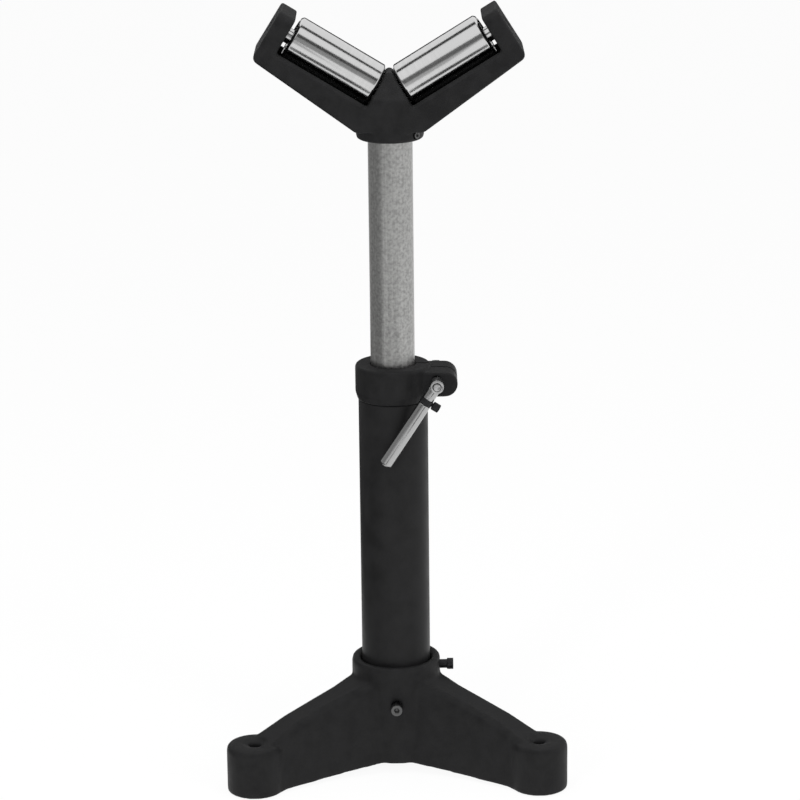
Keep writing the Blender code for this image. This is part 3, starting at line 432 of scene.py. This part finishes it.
def cast_skin(casting, fine, blunt, cell, rounds):
    """Fine cells blunt every edge, and a second rebuild in larger cells then meets no sharp edge."""
    cells_and_rounds(casting, fine, blunt)
    cells_and_rounds(casting, cell, rounds)
    casting.data.materials.clear()
    casting.data.materials.append(cast_paint)
    print(f"{casting.name}: cells of {fine / MM:.1f} mm, then {cell / MM:.1f} mm")


cast_skin(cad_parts["base_casting"], fine=1.1 * MM, blunt=20, cell=1.9 * MM, rounds=2)
cast_skin(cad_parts["collar_casting"], fine=0.7 * MM, blunt=8, cell=1.0 * MM, rounds=2)

# %% [markdown]
# ## The two pipes
# The column is a length of 2 1/2 inch pipe and the mast a length of 1 1/2
# inch pipe. A cylinder with a bevel would do for either, but the same ring
# profile gives outer wall, bore and both sawn ends in one turn, with the ends
# broken as by a file, and a UV map that runs up the pipe.

# %% Column and mast
PIPE_EDGE = 0.9 * MM
PIPE_STEPS = 128
COLUMN_RADIUS = 38.05 * MM
COLUMN_INNER = 34.45 * MM
COLUMN_ENDS = (20.3 * MM, 423.0 * MM)
MAST_RADIUS = 24.15 * MM
MAST_INNER = 20.45 * MM
MAST_ENDS = (280.0 * MM, 739.7 * MM)
UP = Matrix.Identity(4)

column_loop = ring_profile(COLUMN_RADIUS, COLUMN_INNER, *COLUMN_ENDS, PIPE_EDGE)
column = lathe("column", column_loop, UP, PIPE_STEPS)
seat(column, "stand", tube_paint, "column_tube")
mast_loop = ring_profile(MAST_RADIUS, MAST_INNER, *MAST_ENDS, PIPE_EDGE)
mast = lathe("mast", mast_loop, UP, PIPE_STEPS)
seat(mast, "mast", zinc_coat, "mast_tube")

# %% [markdown]
# ## The guide under the mast
# Inside the column a plastic bush keeps the mast's lower end in the middle:
# a ring with a ledge that the mast stands on. It travels with the mast and
# doesn't turn with it. It hardly shows, but it is a turned piece like the
# others, so one more stepped profile is all that it takes.

# %% Guide bush
CLEARANCE = 0.3 * MM
BUSH_LOW = 273.7 * MM
BUSH_LEDGE = 6.0 * MM
BUSH_HIGH = BUSH_LOW + 24.0 * MM
BUSH_OUTER = COLUMN_INNER - 0.4 * MM
BUSH_EDGE = 1.2 * MM
bush_loop = [
    (BUSH_OUTER, (BUSH_LOW + BUSH_HIGH) / 2),
    (BUSH_OUTER, BUSH_LOW),
    (MAST_INNER, BUSH_LOW),
    (MAST_INNER, BUSH_LOW + BUSH_LEDGE),
    (MAST_RADIUS + CLEARANCE, BUSH_LOW + BUSH_LEDGE),
    (MAST_RADIUS + CLEARANCE, BUSH_HIGH),
    (BUSH_OUTER, BUSH_HIGH),
    (BUSH_OUTER, (BUSH_LOW + BUSH_HIGH) / 2),
]
bush = lathe("guide_bush", rounded(bush_loop, BUSH_EDGE)[:-1], UP)
seat(bush, "carriage", guide_plastic, "mast_guide_bush")

# %% [markdown]
# ## The arms of the V
# The pipe rests on two lines that slope up to both sides and meet over the
# mast. Everything on an arm, trays, rollers, bearings and axles, is set out
# along this line and square down from it, as on the maker's drawing. That is
# easier to read than turning each finished piece, and keeps every object
# unturned at the origin.

# %% Where the arms lie
SIDES = ((-1, "left"), (1, "right"))
SLOPE = radians(31.5)
LINES_MEET = 788.4 * MM


def roller_way(side):
    """The unit step up along an arm."""
    return Vector((side * cos(SLOPE), 0.0, sin(SLOPE)))


def roller_down(side):
    """The unit step square to an arm, down and outward."""
    return Vector((side * sin(SLOPE), 0.0, -cos(SLOPE)))


def on_arm(along, down, side):
    """A point a distance along one arm's top line and square down from it."""
    return Vector((0.0, 0.0, LINES_MEET)) + roller_way(side) * along + roller_down(side) * down


print("the lines meet at", round(LINES_MEET / MM, 1), "mm")

# %% [markdown]
# ## The head casting
# The walls of the two trays are lowest beside the rollers, with a rim that
# slopes outward, so that nothing catches a pipe and the rollers stand clear.
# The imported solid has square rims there. They could be modelled anew, but one
# slanting cut for each arm through a copy of the solid says the same, as a
# grinder would. The copy then gets its cast skin like the other two castings.

# %% The prism that cuts one arm's rims
RIM_FROM, RIM_TO = 1.05 * MM, 112.55 * MM
RIM_INNER = (28.5 * MM, 42.6 * MM)
RIM_OUTER = (45.0 * MM, 52.2 * MM)
RIM_ABOVE = 30.0 * MM


def linked(name, mesh):
    """A new object that holds the mesh and is part of the scene."""
    made = bpy.data.objects.new(name, mesh)
    bpy.context.scene.collection.objects.link(made)
    return made


def rim_cutter(side):
    """P(e, k) = O + way e + down d_k + Y a_k for a six-sided section of (across a, down d) points.

    The distance e along the arm is the wedge's end or the lug's, and walls join the two.
    """
    half = [(RIM_OUTER[0], RIM_ABOVE), RIM_OUTER, RIM_INNER]
    across, down = np.array(half + [(-a, d) for a, d in half[::-1]]).T
    ends = np.array([RIM_FROM, RIM_TO])
    points = (
        np.array([0.0, 0.0, LINES_MEET])
        + ends[:, None, None] * np.array(roller_way(side))
        + down[None, :, None] * np.array(roller_down(side))
        + across[None, :, None] * np.array([0.0, 1.0, 0.0])
    ).reshape(-1, 3)
    count = len(across)
    here = np.arange(count)
    ahead = np.roll(here, -1)
    walls = np.stack([here, ahead, count + ahead, count + here], axis=1).tolist()
    mesh = bpy.data.meshes.new("rim_cutter")
    mesh.from_pydata(points.tolist(), [], [here[::-1].tolist(), *walls, (count + here).tolist()])
    solid = bmesh.new()
    solid.from_mesh(mesh)
    bmesh.ops.recalc_face_normals(solid, faces=solid.faces)
    solid.to_mesh(mesh)
    solid.free()
    return linked("rim_cutter", mesh)


# %% A cut copy of the head's solid
SAME_POINT = 0.002 * MM


def cut_copy(name, node, cutters):
    """A copy of a node's solid with its doubles merged, less the cutters."""
    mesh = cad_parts[node].data.copy()
    solid = bmesh.new()
    solid.from_mesh(mesh)
    bmesh.ops.remove_doubles(solid, verts=solid.verts, dist=SAME_POINT)
    solid.to_mesh(mesh)
    solid.free()
    rough = linked(name + "_rough", mesh)
    for cutter in cutters:
        step = rough.modifiers.new("cut", "BOOLEAN")
        step.operation = "DIFFERENCE"
        step.solver = "EXACT"
        step.object = cutter
    bpy.context.view_layer.update()
    final = bpy.data.meshes.new_from_object(rough.evaluated_get(bpy.context.evaluated_depsgraph_get()))
    for spare in (rough, *cutters):
        bpy.data.objects.remove(spare, do_unlink=True)
    return linked(name, final)


head = cut_copy("head_with_sloped_rims", "head_casting", [rim_cutter(side) for side, word in SIDES])
seat(head, "mast", cast_paint, "head_casting")
cast_skin(head, fine=0.9 * MM, blunt=8, cell=1.3 * MM, rounds=2)

# %% [markdown]
# ## The rollers
# Each arm of the V carries one thick steel roller. Its axis lies one roller
# radius under the line on which the pipe rests. Both ends have a broad
# chamfer outside and a step inside where a bearing sits, so the roller's
# profile goes round all of that and is turned once.

# %% Rollers
ROLLER_RADIUS = 25.5 * MM
ROLLER_START = 2.6 * MM
ROLLER_LENGTH = 104.0 * MM
ROLLER_CHAMFER = 2.6 * MM
ROLLER_EDGE = 0.9 * MM
ROLLER_STEPS = 128
BEARING_SEAT = 20.3 * MM
BEARING_POCKET = 14.3 * MM
ROLLER_BORE = 17.5 * MM


def roller_profile():
    """Half the section of a roller: barrel, blunt ends, and a step for each bearing."""
    high = ROLLER_LENGTH
    loop = [
        (ROLLER_RADIUS, high / 2),
        (ROLLER_RADIUS, ROLLER_CHAMFER),
        (ROLLER_RADIUS - ROLLER_CHAMFER, 0.0),
        (BEARING_SEAT, 0.0),
        (BEARING_SEAT, BEARING_POCKET),
        (ROLLER_BORE, BEARING_POCKET),
        (ROLLER_BORE, high - BEARING_POCKET),
        (BEARING_SEAT, high - BEARING_POCKET),
        (BEARING_SEAT, high),
        (ROLLER_RADIUS - ROLLER_CHAMFER, high),
        (ROLLER_RADIUS, high - ROLLER_CHAMFER),
        (ROLLER_RADIUS, high / 2),
    ]
    return rounded(loop, ROLLER_EDGE)[:-1]


for side, word in SIDES:
    place = axis_matrix(on_arm(ROLLER_START, ROLLER_RADIUS, side), roller_way(side))
    roller = lathe(f"roller_barrel_{word}", roller_profile(), place, ROLLER_STEPS)
    seat(roller, f"roller_{word}_body", turned_steel, f"roller_{word}")

# %% [markdown]
# ## Bearings
# A roller runs on two shielded ball bearings. The outer ring with its shields
# turns with the roller and the inner ring stays on the axle, so they are two
# pieces on two bodies. The balls are behind the shields and are left out.

# %% Rings of a bearing
BEARING_WIDTH = 12.0 * MM
BEARING_SETBACK = 2.0 * MM
BEARING_EDGE = 0.5 * MM
BEARING_RADIUS = 20.0 * MM
RACE_RADIUS = 17.2 * MM
SHIELD_INNER = 11.45 * MM
SHIELD_BACK = 0.6 * MM
INNER_RING = (11.15 * MM, 8.8 * MM)
OUTER_STEPS, INNER_STEPS = 72, 64


def outer_ring_profile():
    """An outer ring whose two shields are set back from its faces."""
    outer, race, inner, wide, back = BEARING_RADIUS, RACE_RADIUS, SHIELD_INNER, BEARING_WIDTH, SHIELD_BACK
    loop = [
        (outer, wide / 2), (outer, 0.0), (race, 0.0), (race - back, back), (inner, back),
        (inner, wide - back), (race - back, wide - back), (race, wide), (outer, wide), (outer, wide / 2),
    ]
    return rounded(loop, BEARING_EDGE)[:-1]


BEARING_STARTS = {
    "low": ROLLER_START + BEARING_SETBACK,
    "high": ROLLER_START + ROLLER_LENGTH - BEARING_SETBACK - BEARING_WIDTH,
}
outer_loop = outer_ring_profile()
inner_loop = ring_profile(*INNER_RING, 0.0, BEARING_WIDTH, BEARING_EDGE)

# %% [markdown]
# ## Axles and headless screws
# The axle is a plain pin through wedge and lug, and a headless screw from
# under the lug holds it still. The screw's thread could be a bump in its
# material, but a wave on the grid's radius gives real ridges, which catch the
# light and stay in the mesh. Its socket is a few six-sided rows.

# %% Profiles of pins and headless screws
M8_RADIUS = 4.0 * MM
M8_PITCH = 1.25 * MM
GRUB_SOCKET = 2.3 * MM
GRUB_SOCKET_DEPTH = 4.0 * MM
GRUB_EDGE = 0.6 * MM
GRUB_THREAD_FROM = 0.5 * MM
GRUB_THREAD_DEPTH = 0.3 * MM
SCREW_STEPS = 48


def pin_profile(radius, length, edge):
    """A rod from pole to pole, with both its rims rounded."""
    return rounded([(0.0, 0.0), (radius, 0.0), (radius, length), (0.0, length)], edge)


def socket_well(radius, mouth, floor):
    """Six-sided rows from a socket's mouth down to its floor, closed in a pole."""
    return np.array([(radius, mouth, 1.0), (radius, floor, 1.0), (0.0, floor, 0.0)])


def grub_screw(name, place, length, thread_to):
    """A threaded rod with a six-sided socket sunk in its far end."""
    corners = [(0.0, 0.0), (M8_RADIUS, 0.0), (M8_RADIUS, length), (GRUB_SOCKET * 1.12, length)]
    well = socket_well(GRUB_SOCKET, length - GRUB_EDGE * 0.5, length - GRUB_SOCKET_DEPTH)
    profile = np.concatenate([rounded(corners, GRUB_EDGE), well])
    thread = (GRUB_THREAD_FROM, thread_to, M8_PITCH, GRUB_THREAD_DEPTH)
    return lathe(name, profile, place, SCREW_STEPS, thread)


# %% Bearings, axle and screw of each side
AXLE_RADIUS = 8.5 * MM
AXLE_START = -9.0 * MM
AXLE_END = 131.0 * MM
AXLE_EDGE = 1.0 * MM
LUG_SCREW_ALONG = 122.2 * MM
LUG_SCREW_DOWN = 34.3 * MM
LUG_SCREW_LENGTH = 25.2 * MM
LUG_SCREW_THREAD = 24.5 * MM

axle_loop = pin_profile(AXLE_RADIUS, AXLE_END - AXLE_START, AXLE_EDGE)
for side, word in SIDES:
    way = roller_way(side)
    for end, start in BEARING_STARTS.items():
        place = axis_matrix(on_arm(start, ROLLER_RADIUS, side), way)
        outer = lathe(f"outer_ring_{word}_{end}", outer_loop, place, OUTER_STEPS)
        seat(outer, f"roller_{word}_body", ground_steel, f"bearing_outer_{word}_{end}")
        inner = lathe(f"inner_ring_{word}_{end}", inner_loop, place, INNER_STEPS)
        seat(inner, "mast", ground_steel, f"bearing_inner_{word}_{end}")
    place = axis_matrix(on_arm(AXLE_START, ROLLER_RADIUS, side), way)
    pin = lathe(f"axle_pin_{word}", axle_loop, place, INNER_STEPS)
    seat(pin, "mast", turned_steel, f"axle_{word}")
    place = axis_matrix(on_arm(LUG_SCREW_ALONG, LUG_SCREW_DOWN, side), roller_down(side))
    grub = grub_screw(f"axle_grub_{word}", place, LUG_SCREW_LENGTH, LUG_SCREW_THREAD)
    seat(grub, "mast", black_screw, f"axle_screw_{word}")

# %% [markdown]
# ## The lever
# The lever closes the split collar. Its bar plugs into a short arm on a round
# hub, and a black ring covers the joint. Hub, arm, ring and bar are each a
# turned piece on one of two axes that meet in the clamp screw's middle, so
# the lever is set out from that point along the way it hangs. The bar ends in
# a low dome, which a rounded corner would not give.

# %% Lever bar
CLAMP = Vector((47.5 * MM, -48.5 * MM, 449.5 * MM))
LEAN = radians(32.5)
HANG = Vector((-sin(LEAN), 0.0, -cos(LEAN)))
ACROSS = Vector((cos(LEAN), 0.0, -sin(LEAN)))
BAR_RADIUS = 6.9 * MM
BAR_START = 9.5 * MM
BAR_SHOULDER = 24.6 * MM
BAR_END = 107.0 * MM
BAR_EDGE = 0.8 * MM
DOME_SHARE = 0.6
SPIGOT_RADIUS = 4.2 * MM


def bar_profile():
    """Spigot, shoulder, bar and a dome: r = R sin t, h = length - k R (1 - cos t), t from 90 degrees to 0."""
    length = BAR_END - BAR_START
    shoulder = BAR_SHOULDER - BAR_START
    turn = np.linspace(pi / 2, 0.0, 13)
    fall = DOME_SHARE * BAR_RADIUS * (1 - np.cos(turn))
    dome = np.stack([BAR_RADIUS * np.sin(turn), length - fall, turn * 0], 1)
    corners = [(0.0, 0.0), (SPIGOT_RADIUS, 0.0), (SPIGOT_RADIUS, shoulder), (BAR_RADIUS, shoulder)]
    rod = rounded([*corners, tuple(dome[0][:2])], BAR_EDGE)
    return np.concatenate([rod[:-1], dome])


bar = lathe("lever_bar", bar_profile(), axis_matrix(CLAMP + HANG * BAR_START, HANG))
seat(bar, "clamp_lever", drawn_steel, "lever_rod")

# %% Lever hub, its arm and the black ring
HUB_HALF = 8.5 * MM
HUB_RING = (7.4 * MM, 4.3 * MM)
HUB_EDGE = 1.3 * MM
ARM_RING = (6.5 * MM, 4.5 * MM)
ARM_ENDS = (5.8 * MM, 18.0 * MM)
ARM_EDGE = 1.0 * MM
BAND_RADIUS = 7.1 * MM
BAND_START = 18.3 * MM
BAND_WIDTH = 6.0 * MM
BAND_EDGE = 0.6 * MM
LEVER_STEPS = 72
ALONG_Y = (0, 1, 0)

hub_loop = ring_profile(*HUB_RING, -HUB_HALF, HUB_HALF, HUB_EDGE)
hub = lathe("lever_hub_barrel", hub_loop, axis_matrix(CLAMP, ALONG_Y), LEVER_STEPS)
seat(hub, "clamp_lever", drawn_steel, "lever_hub")
arm_loop = ring_profile(*ARM_RING, *ARM_ENDS, ARM_EDGE)
arm = lathe("lever_hub_arm", arm_loop, axis_matrix(CLAMP, HANG), LEVER_STEPS)
seat(arm, "clamp_lever", drawn_steel, "lever_hub")
band_ends = (BAND_START, BAND_START + BAND_WIDTH)
band_loop = ring_profile(BAND_RADIUS, SPIGOT_RADIUS + CLEARANCE, *band_ends, BAND_EDGE)
band = lathe("lever_band", band_loop, axis_matrix(CLAMP, HANG), LEVER_STEPS)
seat(band, "clamp_lever", black_screw, "lever_ring")

# %% [markdown]
# ## The clamp screw, its nut and the cap screw
# The clamp screw goes through the lever's hub and both halves of the collar's
# ear and pulls them together against a nut at the back. A small black cap
# screw pins ring and bar, with its head at the lower right. Heads and nuts
# could be cylinders with six sides, but rows that change from round to
# six-sided give a socket, a chamfered nut and a round head by one function.

# %% Clamp screw and nut
STUD_LENGTH = 94.5 * MM
STUD_EDGE = 0.9 * MM
STUD_STANDS_OUT = 1.5 * MM
STUD_THREAD_FROM = 70.0 * MM
STUD_THREAD_DEPTH = 0.4 * MM
NUT_CORNER = 7.5 * MM
NUT_HEIGHT = 6.5 * MM
NUT_BORE = 4.3 * MM
NUT_CROWN = 6.4 * MM
NUT_CHAMFER = 0.8 * MM
NUT_FACE = 26.3 * MM

stud_start = CLAMP - Vector(ALONG_Y) * (HUB_HALF + STUD_STANDS_OUT)
stud_thread = (STUD_THREAD_FROM, STUD_LENGTH, M8_PITCH, STUD_THREAD_DEPTH)
stud_loop = pin_profile(M8_RADIUS, STUD_LENGTH, STUD_EDGE)
stud = lathe("clamp_stud", stud_loop, axis_matrix(stud_start, ALONG_Y), INNER_STEPS, stud_thread)
seat(stud, "clamp_lever", drawn_steel, "clamp_screw")
nut_loop = np.array(
    [
        (NUT_CORNER, NUT_HEIGHT / 2, 1.0),
        (NUT_CORNER, 0.0, 1.0),
        (NUT_BORE, 0.0, 0.0),
        (NUT_BORE, NUT_HEIGHT, 0.0),
        (NUT_CROWN, NUT_HEIGHT, 0.0),
        (NUT_CORNER, NUT_HEIGHT - NUT_CHAMFER, 1.0),
    ]
)
nut = lathe("clamp_hex_nut", nut_loop, axis_matrix((CLAMP.x, NUT_FACE, CLAMP.z), ALONG_Y), LEVER_STEPS)
seat(nut, "stand", black_screw, "clamp_nut")

# %% Cap screw through ring and bar
CAP_EDGE = 0.6 * MM
CAP_MOUTH = 0.4 * MM
BOLT_SHANK = 2.0 * MM
BOLT_HEAD_RADIUS = 4.7 * MM
BOLT_HEAD = 8.0 * MM
BOLT_SOCKET = 2.2 * MM
BOLT_SOCKET_DEPTH = 3.0 * MM
BOLT_STANDS_OFF = 0.9 * MM
BOLT_TIP_BACK = 1.0 * MM


def cap_screw_profile(shank, neck, head, length, socket, depth):
    """Shank, then a round head with a six-sided socket."""
    rows = [(0.0, 0.0), (shank, 0.0), (shank, neck), (head, neck), (head, length), (socket * 1.15, length)]
    return np.concatenate([rounded(rows, CAP_EDGE), socket_well(socket, length - CAP_MOUTH, length - depth)])


bolt_seat = BAND_RADIUS + BOLT_STANDS_OFF
bolt_tail = BAND_RADIUS - BOLT_TIP_BACK
bolt_place = axis_matrix(CLAMP + HANG * (BAND_START + BAND_WIDTH / 2) - ACROSS * bolt_tail, ACROSS)
bolt_length = bolt_seat + bolt_tail + BOLT_HEAD
bolt_loop = cap_screw_profile(
    BOLT_SHANK, bolt_length - BOLT_HEAD, BOLT_HEAD_RADIUS, bolt_length, BOLT_SOCKET, BOLT_SOCKET_DEPTH
)
bolt = lathe("lever_cap_screw", bolt_loop, bolt_place, SCREW_STEPS)
seat(bolt, "clamp_lever", black_screw, "lever_cross_bolt")

# %% [markdown]
# ## The set screws
# Two screws in the base's hub bite on the column, one at the right and one at
# the front, and a smaller one in the head's boss bites on the mast. They are
# the cap screw and the headless screw from above with other sizes, pointed
# from the stand's axis outward.

# %% Set screws
HUB_SCREW_RADIUS = 5.0 * MM
HUB_SCREW_REACH = 64.0 * MM
HUB_SCREW_HEAD_RADIUS = 6.3 * MM
HUB_SCREW_HEAD = 7.0 * MM
HUB_SCREW_SOCKET = 2.9 * MM
HUB_SCREW_SOCKET_DEPTH = 3.8 * MM
HUB_SCREW_STEPS = 60
HUB_THREAD_FROM = 1.0 * MM
HUB_THREAD_BACK = 7.5 * MM
HUB_THREAD_PITCH = 1.5 * MM
HUB_THREAD_DEPTH = 0.4 * MM


def hub_screw(name, height, direction, look, node):
    """A cap screw from the column's surface outward at one height of the hub."""
    start = COLUMN_RADIUS + CLEARANCE
    length = HUB_SCREW_REACH - start
    profile = cap_screw_profile(
        HUB_SCREW_RADIUS, length - HUB_SCREW_HEAD, HUB_SCREW_HEAD_RADIUS, length,
        HUB_SCREW_SOCKET, HUB_SCREW_SOCKET_DEPTH,
    )
    place = axis_matrix(Vector(direction) * start + Vector((0, 0, height)), direction)
    thread = (HUB_THREAD_FROM, length - HUB_THREAD_BACK, HUB_THREAD_PITCH, HUB_THREAD_DEPTH)
    seat(lathe(name, profile, place, HUB_SCREW_STEPS, thread), "stand", look, node)


hub_screw("right_hub_screw", 111.3 * MM, (1, 0, 0), black_screw, "hub_set_screw_right")
hub_screw("front_hub_screw", 80.0 * MM, (0, -1, 0), dulled_steel, "hub_set_screw_front")
HEAD_SCREW_TURN = radians(51.0)
HEAD_SCREW_START = 24.45 * MM
HEAD_SCREW_HEIGHT = 719.6 * MM
HEAD_SCREW_LENGTH = 13.35 * MM
HEAD_SCREW_THREAD = 12.7 * MM
head_way = Vector((sin(HEAD_SCREW_TURN), -cos(HEAD_SCREW_TURN), 0.0))
head_place = axis_matrix(head_way * HEAD_SCREW_START + Vector((0, 0, HEAD_SCREW_HEIGHT)), head_way)
head_screw = grub_screw("head_grub", head_place, HEAD_SCREW_LENGTH, HEAD_SCREW_THREAD)
seat(head_screw, "mast", dulled_steel, "head_set_screw")

# %% [markdown]
# ## The stage
# The photograph shows the stand cut out on white. A large floor carries the
# soft shadow of the feet, and the world is white to the camera and in
# reflections, but lights the stand at a plainer level. One could light the
# background until it turns white, but the same light would wash out the
# stand, so Light Path tells the rays that look from those that gather light.

# %% World
WHITE = (1.0, 1.0, 1.0, 1.0)
AMBIENT = 0.55


def seen_straight(tree):
    """1 where a camera, glossy or transmission ray looks, 0 where light is gathered."""
    path = wire(tree, "ShaderNodeLightPath").outputs
    looks = {0: path["Is Camera Ray"], 1: path["Is Glossy Ray"]}
    first = wire(tree, "ShaderNodeMath", looks, operation="MAXIMUM")
    through = {0: first.outputs[0], 1: path["Is Transmission Ray"]}
    return wire(tree, "ShaderNodeMath", through, operation="MAXIMUM").outputs[0]


world = bpy.data.worlds.new("studio")
bpy.context.scene.world = world
world.use_nodes = True
sky = world.node_tree
sky.nodes.clear()
ambient = wire(sky, "ShaderNodeBackground", {"Color": WHITE, "Strength": AMBIENT})
white = wire(sky, "ShaderNodeBackground", {"Color": WHITE, "Strength": 1.0})
shades = {0: seen_straight(sky), 1: ambient.outputs[0], 2: white.outputs[0]}
either = wire(sky, "ShaderNodeMixShader", shades)
wire(sky, "ShaderNodeOutputWorld", {"Surface": either.outputs[0]})
print("world lights the stand at", AMBIENT)

# %% Floor
FLOOR_LEVEL = -0.5 * MM
FLOOR_SIDE, FLOOR_NEAR, FLOOR_FAR = 6, -6, 8
PAPER = 0.95
PAPER_ROUGHNESS = 0.9
FLOOR_GLOW = 0.93  # share of plain white in what a looking ray sees; the rest keeps the shadow


def sheet(name, corners):
    """One flat face that belongs to the stage."""
    mesh = bpy.data.meshes.new(name)
    mesh.from_pydata(corners, [], [(0, 1, 2, 3)])
    made = linked(name, mesh)
    return made


near_corners = [(x, FLOOR_NEAR, FLOOR_LEVEL) for x in (-FLOOR_SIDE, FLOOR_SIDE)]
far_corners = [(x, FLOOR_FAR, FLOOR_LEVEL) for x in (FLOOR_SIDE, -FLOOR_SIDE)]
floor = sheet("floor", near_corners + far_corners)
paper = bpy.data.materials.new("white paper")
paper.use_nodes = True
tree = paper.node_tree
matt = tree.nodes["Principled BSDF"]
matt.inputs["Base Color"].default_value = (PAPER, PAPER, PAPER, 1.0)
matt.inputs["Roughness"].default_value = PAPER_ROUGHNESS
glow = wire(tree, "ShaderNodeEmission", {"Color": WHITE, "Strength": 1.0})
share = wire(tree, "ShaderNodeMath", {0: seen_straight(tree), 1: FLOOR_GLOW}, operation="MULTIPLY")
mixed = wire(tree, "ShaderNodeMixShader", {0: share.outputs[0], 1: matt.outputs[0], 2: glow.outputs[0]})
tree.links.new(mixed.outputs[0], tree.nodes["Material Output"].inputs["Surface"])
floor.data.materials.append(paper)
print("floor at", FLOOR_LEVEL / MM, "mm")

# %% [markdown]
# ## Dark cards
# In an all white room a steel roller is one pale tube. A photographer holds
# black cards beside bright steel, and their reflections draw the dark lines
# that show its roundness. Here each card is seen by reflections alone, so it
# neither shows nor takes light away. A roller mirrors what lies square to its
# axis, so its cards are set by the angle in that plane, from the way to the
# viewer (0 degrees) over the top (90) to behind the stand (180). Long cards
# beside the stand and on the floor do the same for the upright pieces.

# %% Kinds of card
CARD_LEVEL = 2.0 * MM
HEAD_HEIGHT = 0.8
CARD_DISTANCE = 3.0
CARD_REACH = 3.0
LOOKING_DOWN = 0.075


def dark_card(name, corners, shade):
    """A sheet of one grey that only reflections see."""
    card = sheet(name, corners)
    cloth = bpy.data.materials.new(name + " cloth")
    cloth.use_nodes = True
    cloth.node_tree.nodes.clear()
    grey = wire(cloth.node_tree, "ShaderNodeEmission", {"Color": (shade, shade, shade, 1.0), "Strength": 1.0})
    wire(cloth.node_tree, "ShaderNodeOutputMaterial", {"Surface": grey.outputs[0]})
    card.data.materials.append(cloth)
    card.visible_camera = False
    card.visible_diffuse = False
    card.visible_shadow = False
    print(f"{name}: {shade}")


def flat_card(name, x_ends, y_ends, shade):
    """A card that lies on the floor."""
    (x0, x1), (y0, y1) = x_ends, y_ends
    dark_card(name, [(x, y, CARD_LEVEL) for x, y in ((x0, y0), (x1, y0), (x1, y1), (x0, y1))], shade)


def upright_card(name, x, y_ends, high, shade):
    """A card that stands beside the object, edge on to the viewer."""
    near, far = y_ends
    dark_card(name, [(x, near, 0.0), (x, far, 0.0), (x, far, high), (x, near, high)], shade)


def arched_card(name, side, start, end, shade):
    """A long card over one half of the set, between two angles that a roller's reflection turns through.

    The corner at the angle a lies at the depth -D cos(a) and at the height
    HEAD_HEIGHT + D (cos(slope) sin(a) - LOOKING_DOWN), as the viewer looks down a little.
    """
    edges = [
        (-CARD_DISTANCE * cos(turn), HEAD_HEIGHT + CARD_DISTANCE * (cos(SLOPE) * sin(turn) - LOOKING_DOWN))
        for turn in (radians(start), radians(end))
    ]
    far = -side * CARD_REACH
    dark_card(name, [(0.0, *edges[0]), (far, *edges[0]), (far, *edges[1]), (0.0, *edges[1])], shade)


# %% Set the cards up
ARCHED = {  # name: (start, end, shade) for the left roller, then for the right one
    "behind": ((150.0, 179.0, 0.05), (150.0, 179.0, 0.05)),
    "over": ((78.0, 91.0, 0.04), (86.0, 102.0, 0.04)),
    "before": ((32.0, 47.0, 0.06), (14.0, 36.0, 0.15)),
    "low": ((12.0, 32.0, 0.34), (-2.0, 14.0, 0.5)),
}
upright_card("flag left", -1.2, (-1.1, 2.4), high=1.3, shade=0.36)
flat_card("floor left", (-1.15, -0.35), (-0.8, 1.8), shade=0.1)
for name, pair in ARCHED.items():
    for (side, word), (start, end, shade) in zip(SIDES, pair):
        arched_card(f"card {name} {word}", side, start, end, shade)
for side, word in SIDES:
    flat_card(f"floor line {word}", (side * 0.15, side * 0.7), (-1.75, -1.05), shade=0.03)

# %% [markdown]
# ## Lamps
# The black castings are nearly as dark on every side in the photograph, with
# a little more light from the front left. Three large soft lamps give that.
# They are hidden from reflections, because a lamp's own image would draw a
# white stripe on the steel.

# %% Lamps
MIDDLE = (0.0, 0.0, 0.45)


def lamp(name, place, wide, high, power):
    """A soft rectangle of light, turned to the middle of the stand."""
    light = bpy.data.lights.new(name, "AREA")
    light.shape = "RECTANGLE"
    light.size = wide
    light.size_y = high
    light.energy = power
    made = linked(name, light)
    made.visible_glossy = False
    made.location = place
    made.rotation_euler = (Vector(MIDDLE) - Vector(place)).to_track_quat("-Z", "Y").to_euler()
    print(f"{name}: {power} W")


lamp("window left", (-1.3, -2.6, 1.5), wide=0.35, high=1.6, power=32.0)
lamp("soft right", (1.9, -2.0, 1.7), wide=0.6, high=1.4, power=22.0)
lamp("overhead", (0.0, -0.3, 2.6), wide=1.6, high=1.0, power=30.0)

# %% [markdown]
# ## The camera
# The widths in the photograph hardly change from top to bottom, so a long
# lens is used from 3.5 m, a little above the stand. The lens follows from the
# scale, in pixels to the metre at the aim: moving back then changes only the
# perspective. The top leans slightly left, which is the camera's roll.

# %% Camera
SCALE = 911.5
FRAME_WIDTH = 800.0
DISTANCE = 3.5
PITCH = radians(16.0)
ROLL = radians(-0.65)
AIM = Vector((0.0075, 0.0, 0.4198))

camera_data = bpy.data.cameras.new("camera")
camera_data.sensor_width = 36.0
camera_data.lens = SCALE * DISTANCE * camera_data.sensor_width / FRAME_WIDTH
camera = linked("camera", camera_data)
forward = Vector((0.0, cos(PITCH), -sin(PITCH)))
camera.location = AIM - forward * DISTANCE
camera.rotation_mode = "QUATERNION"
tilt = Matrix.Rotation(ROLL, 4, "Z")
camera.rotation_quaternion = (forward.to_track_quat("-Z", "Y").to_matrix().to_4x4() @ tilt).to_quaternion()
bpy.context.scene.camera = camera
bpy.context.scene.view_settings.view_transform = "Standard"
print(f"lens: {camera_data.lens:.1f} mm")
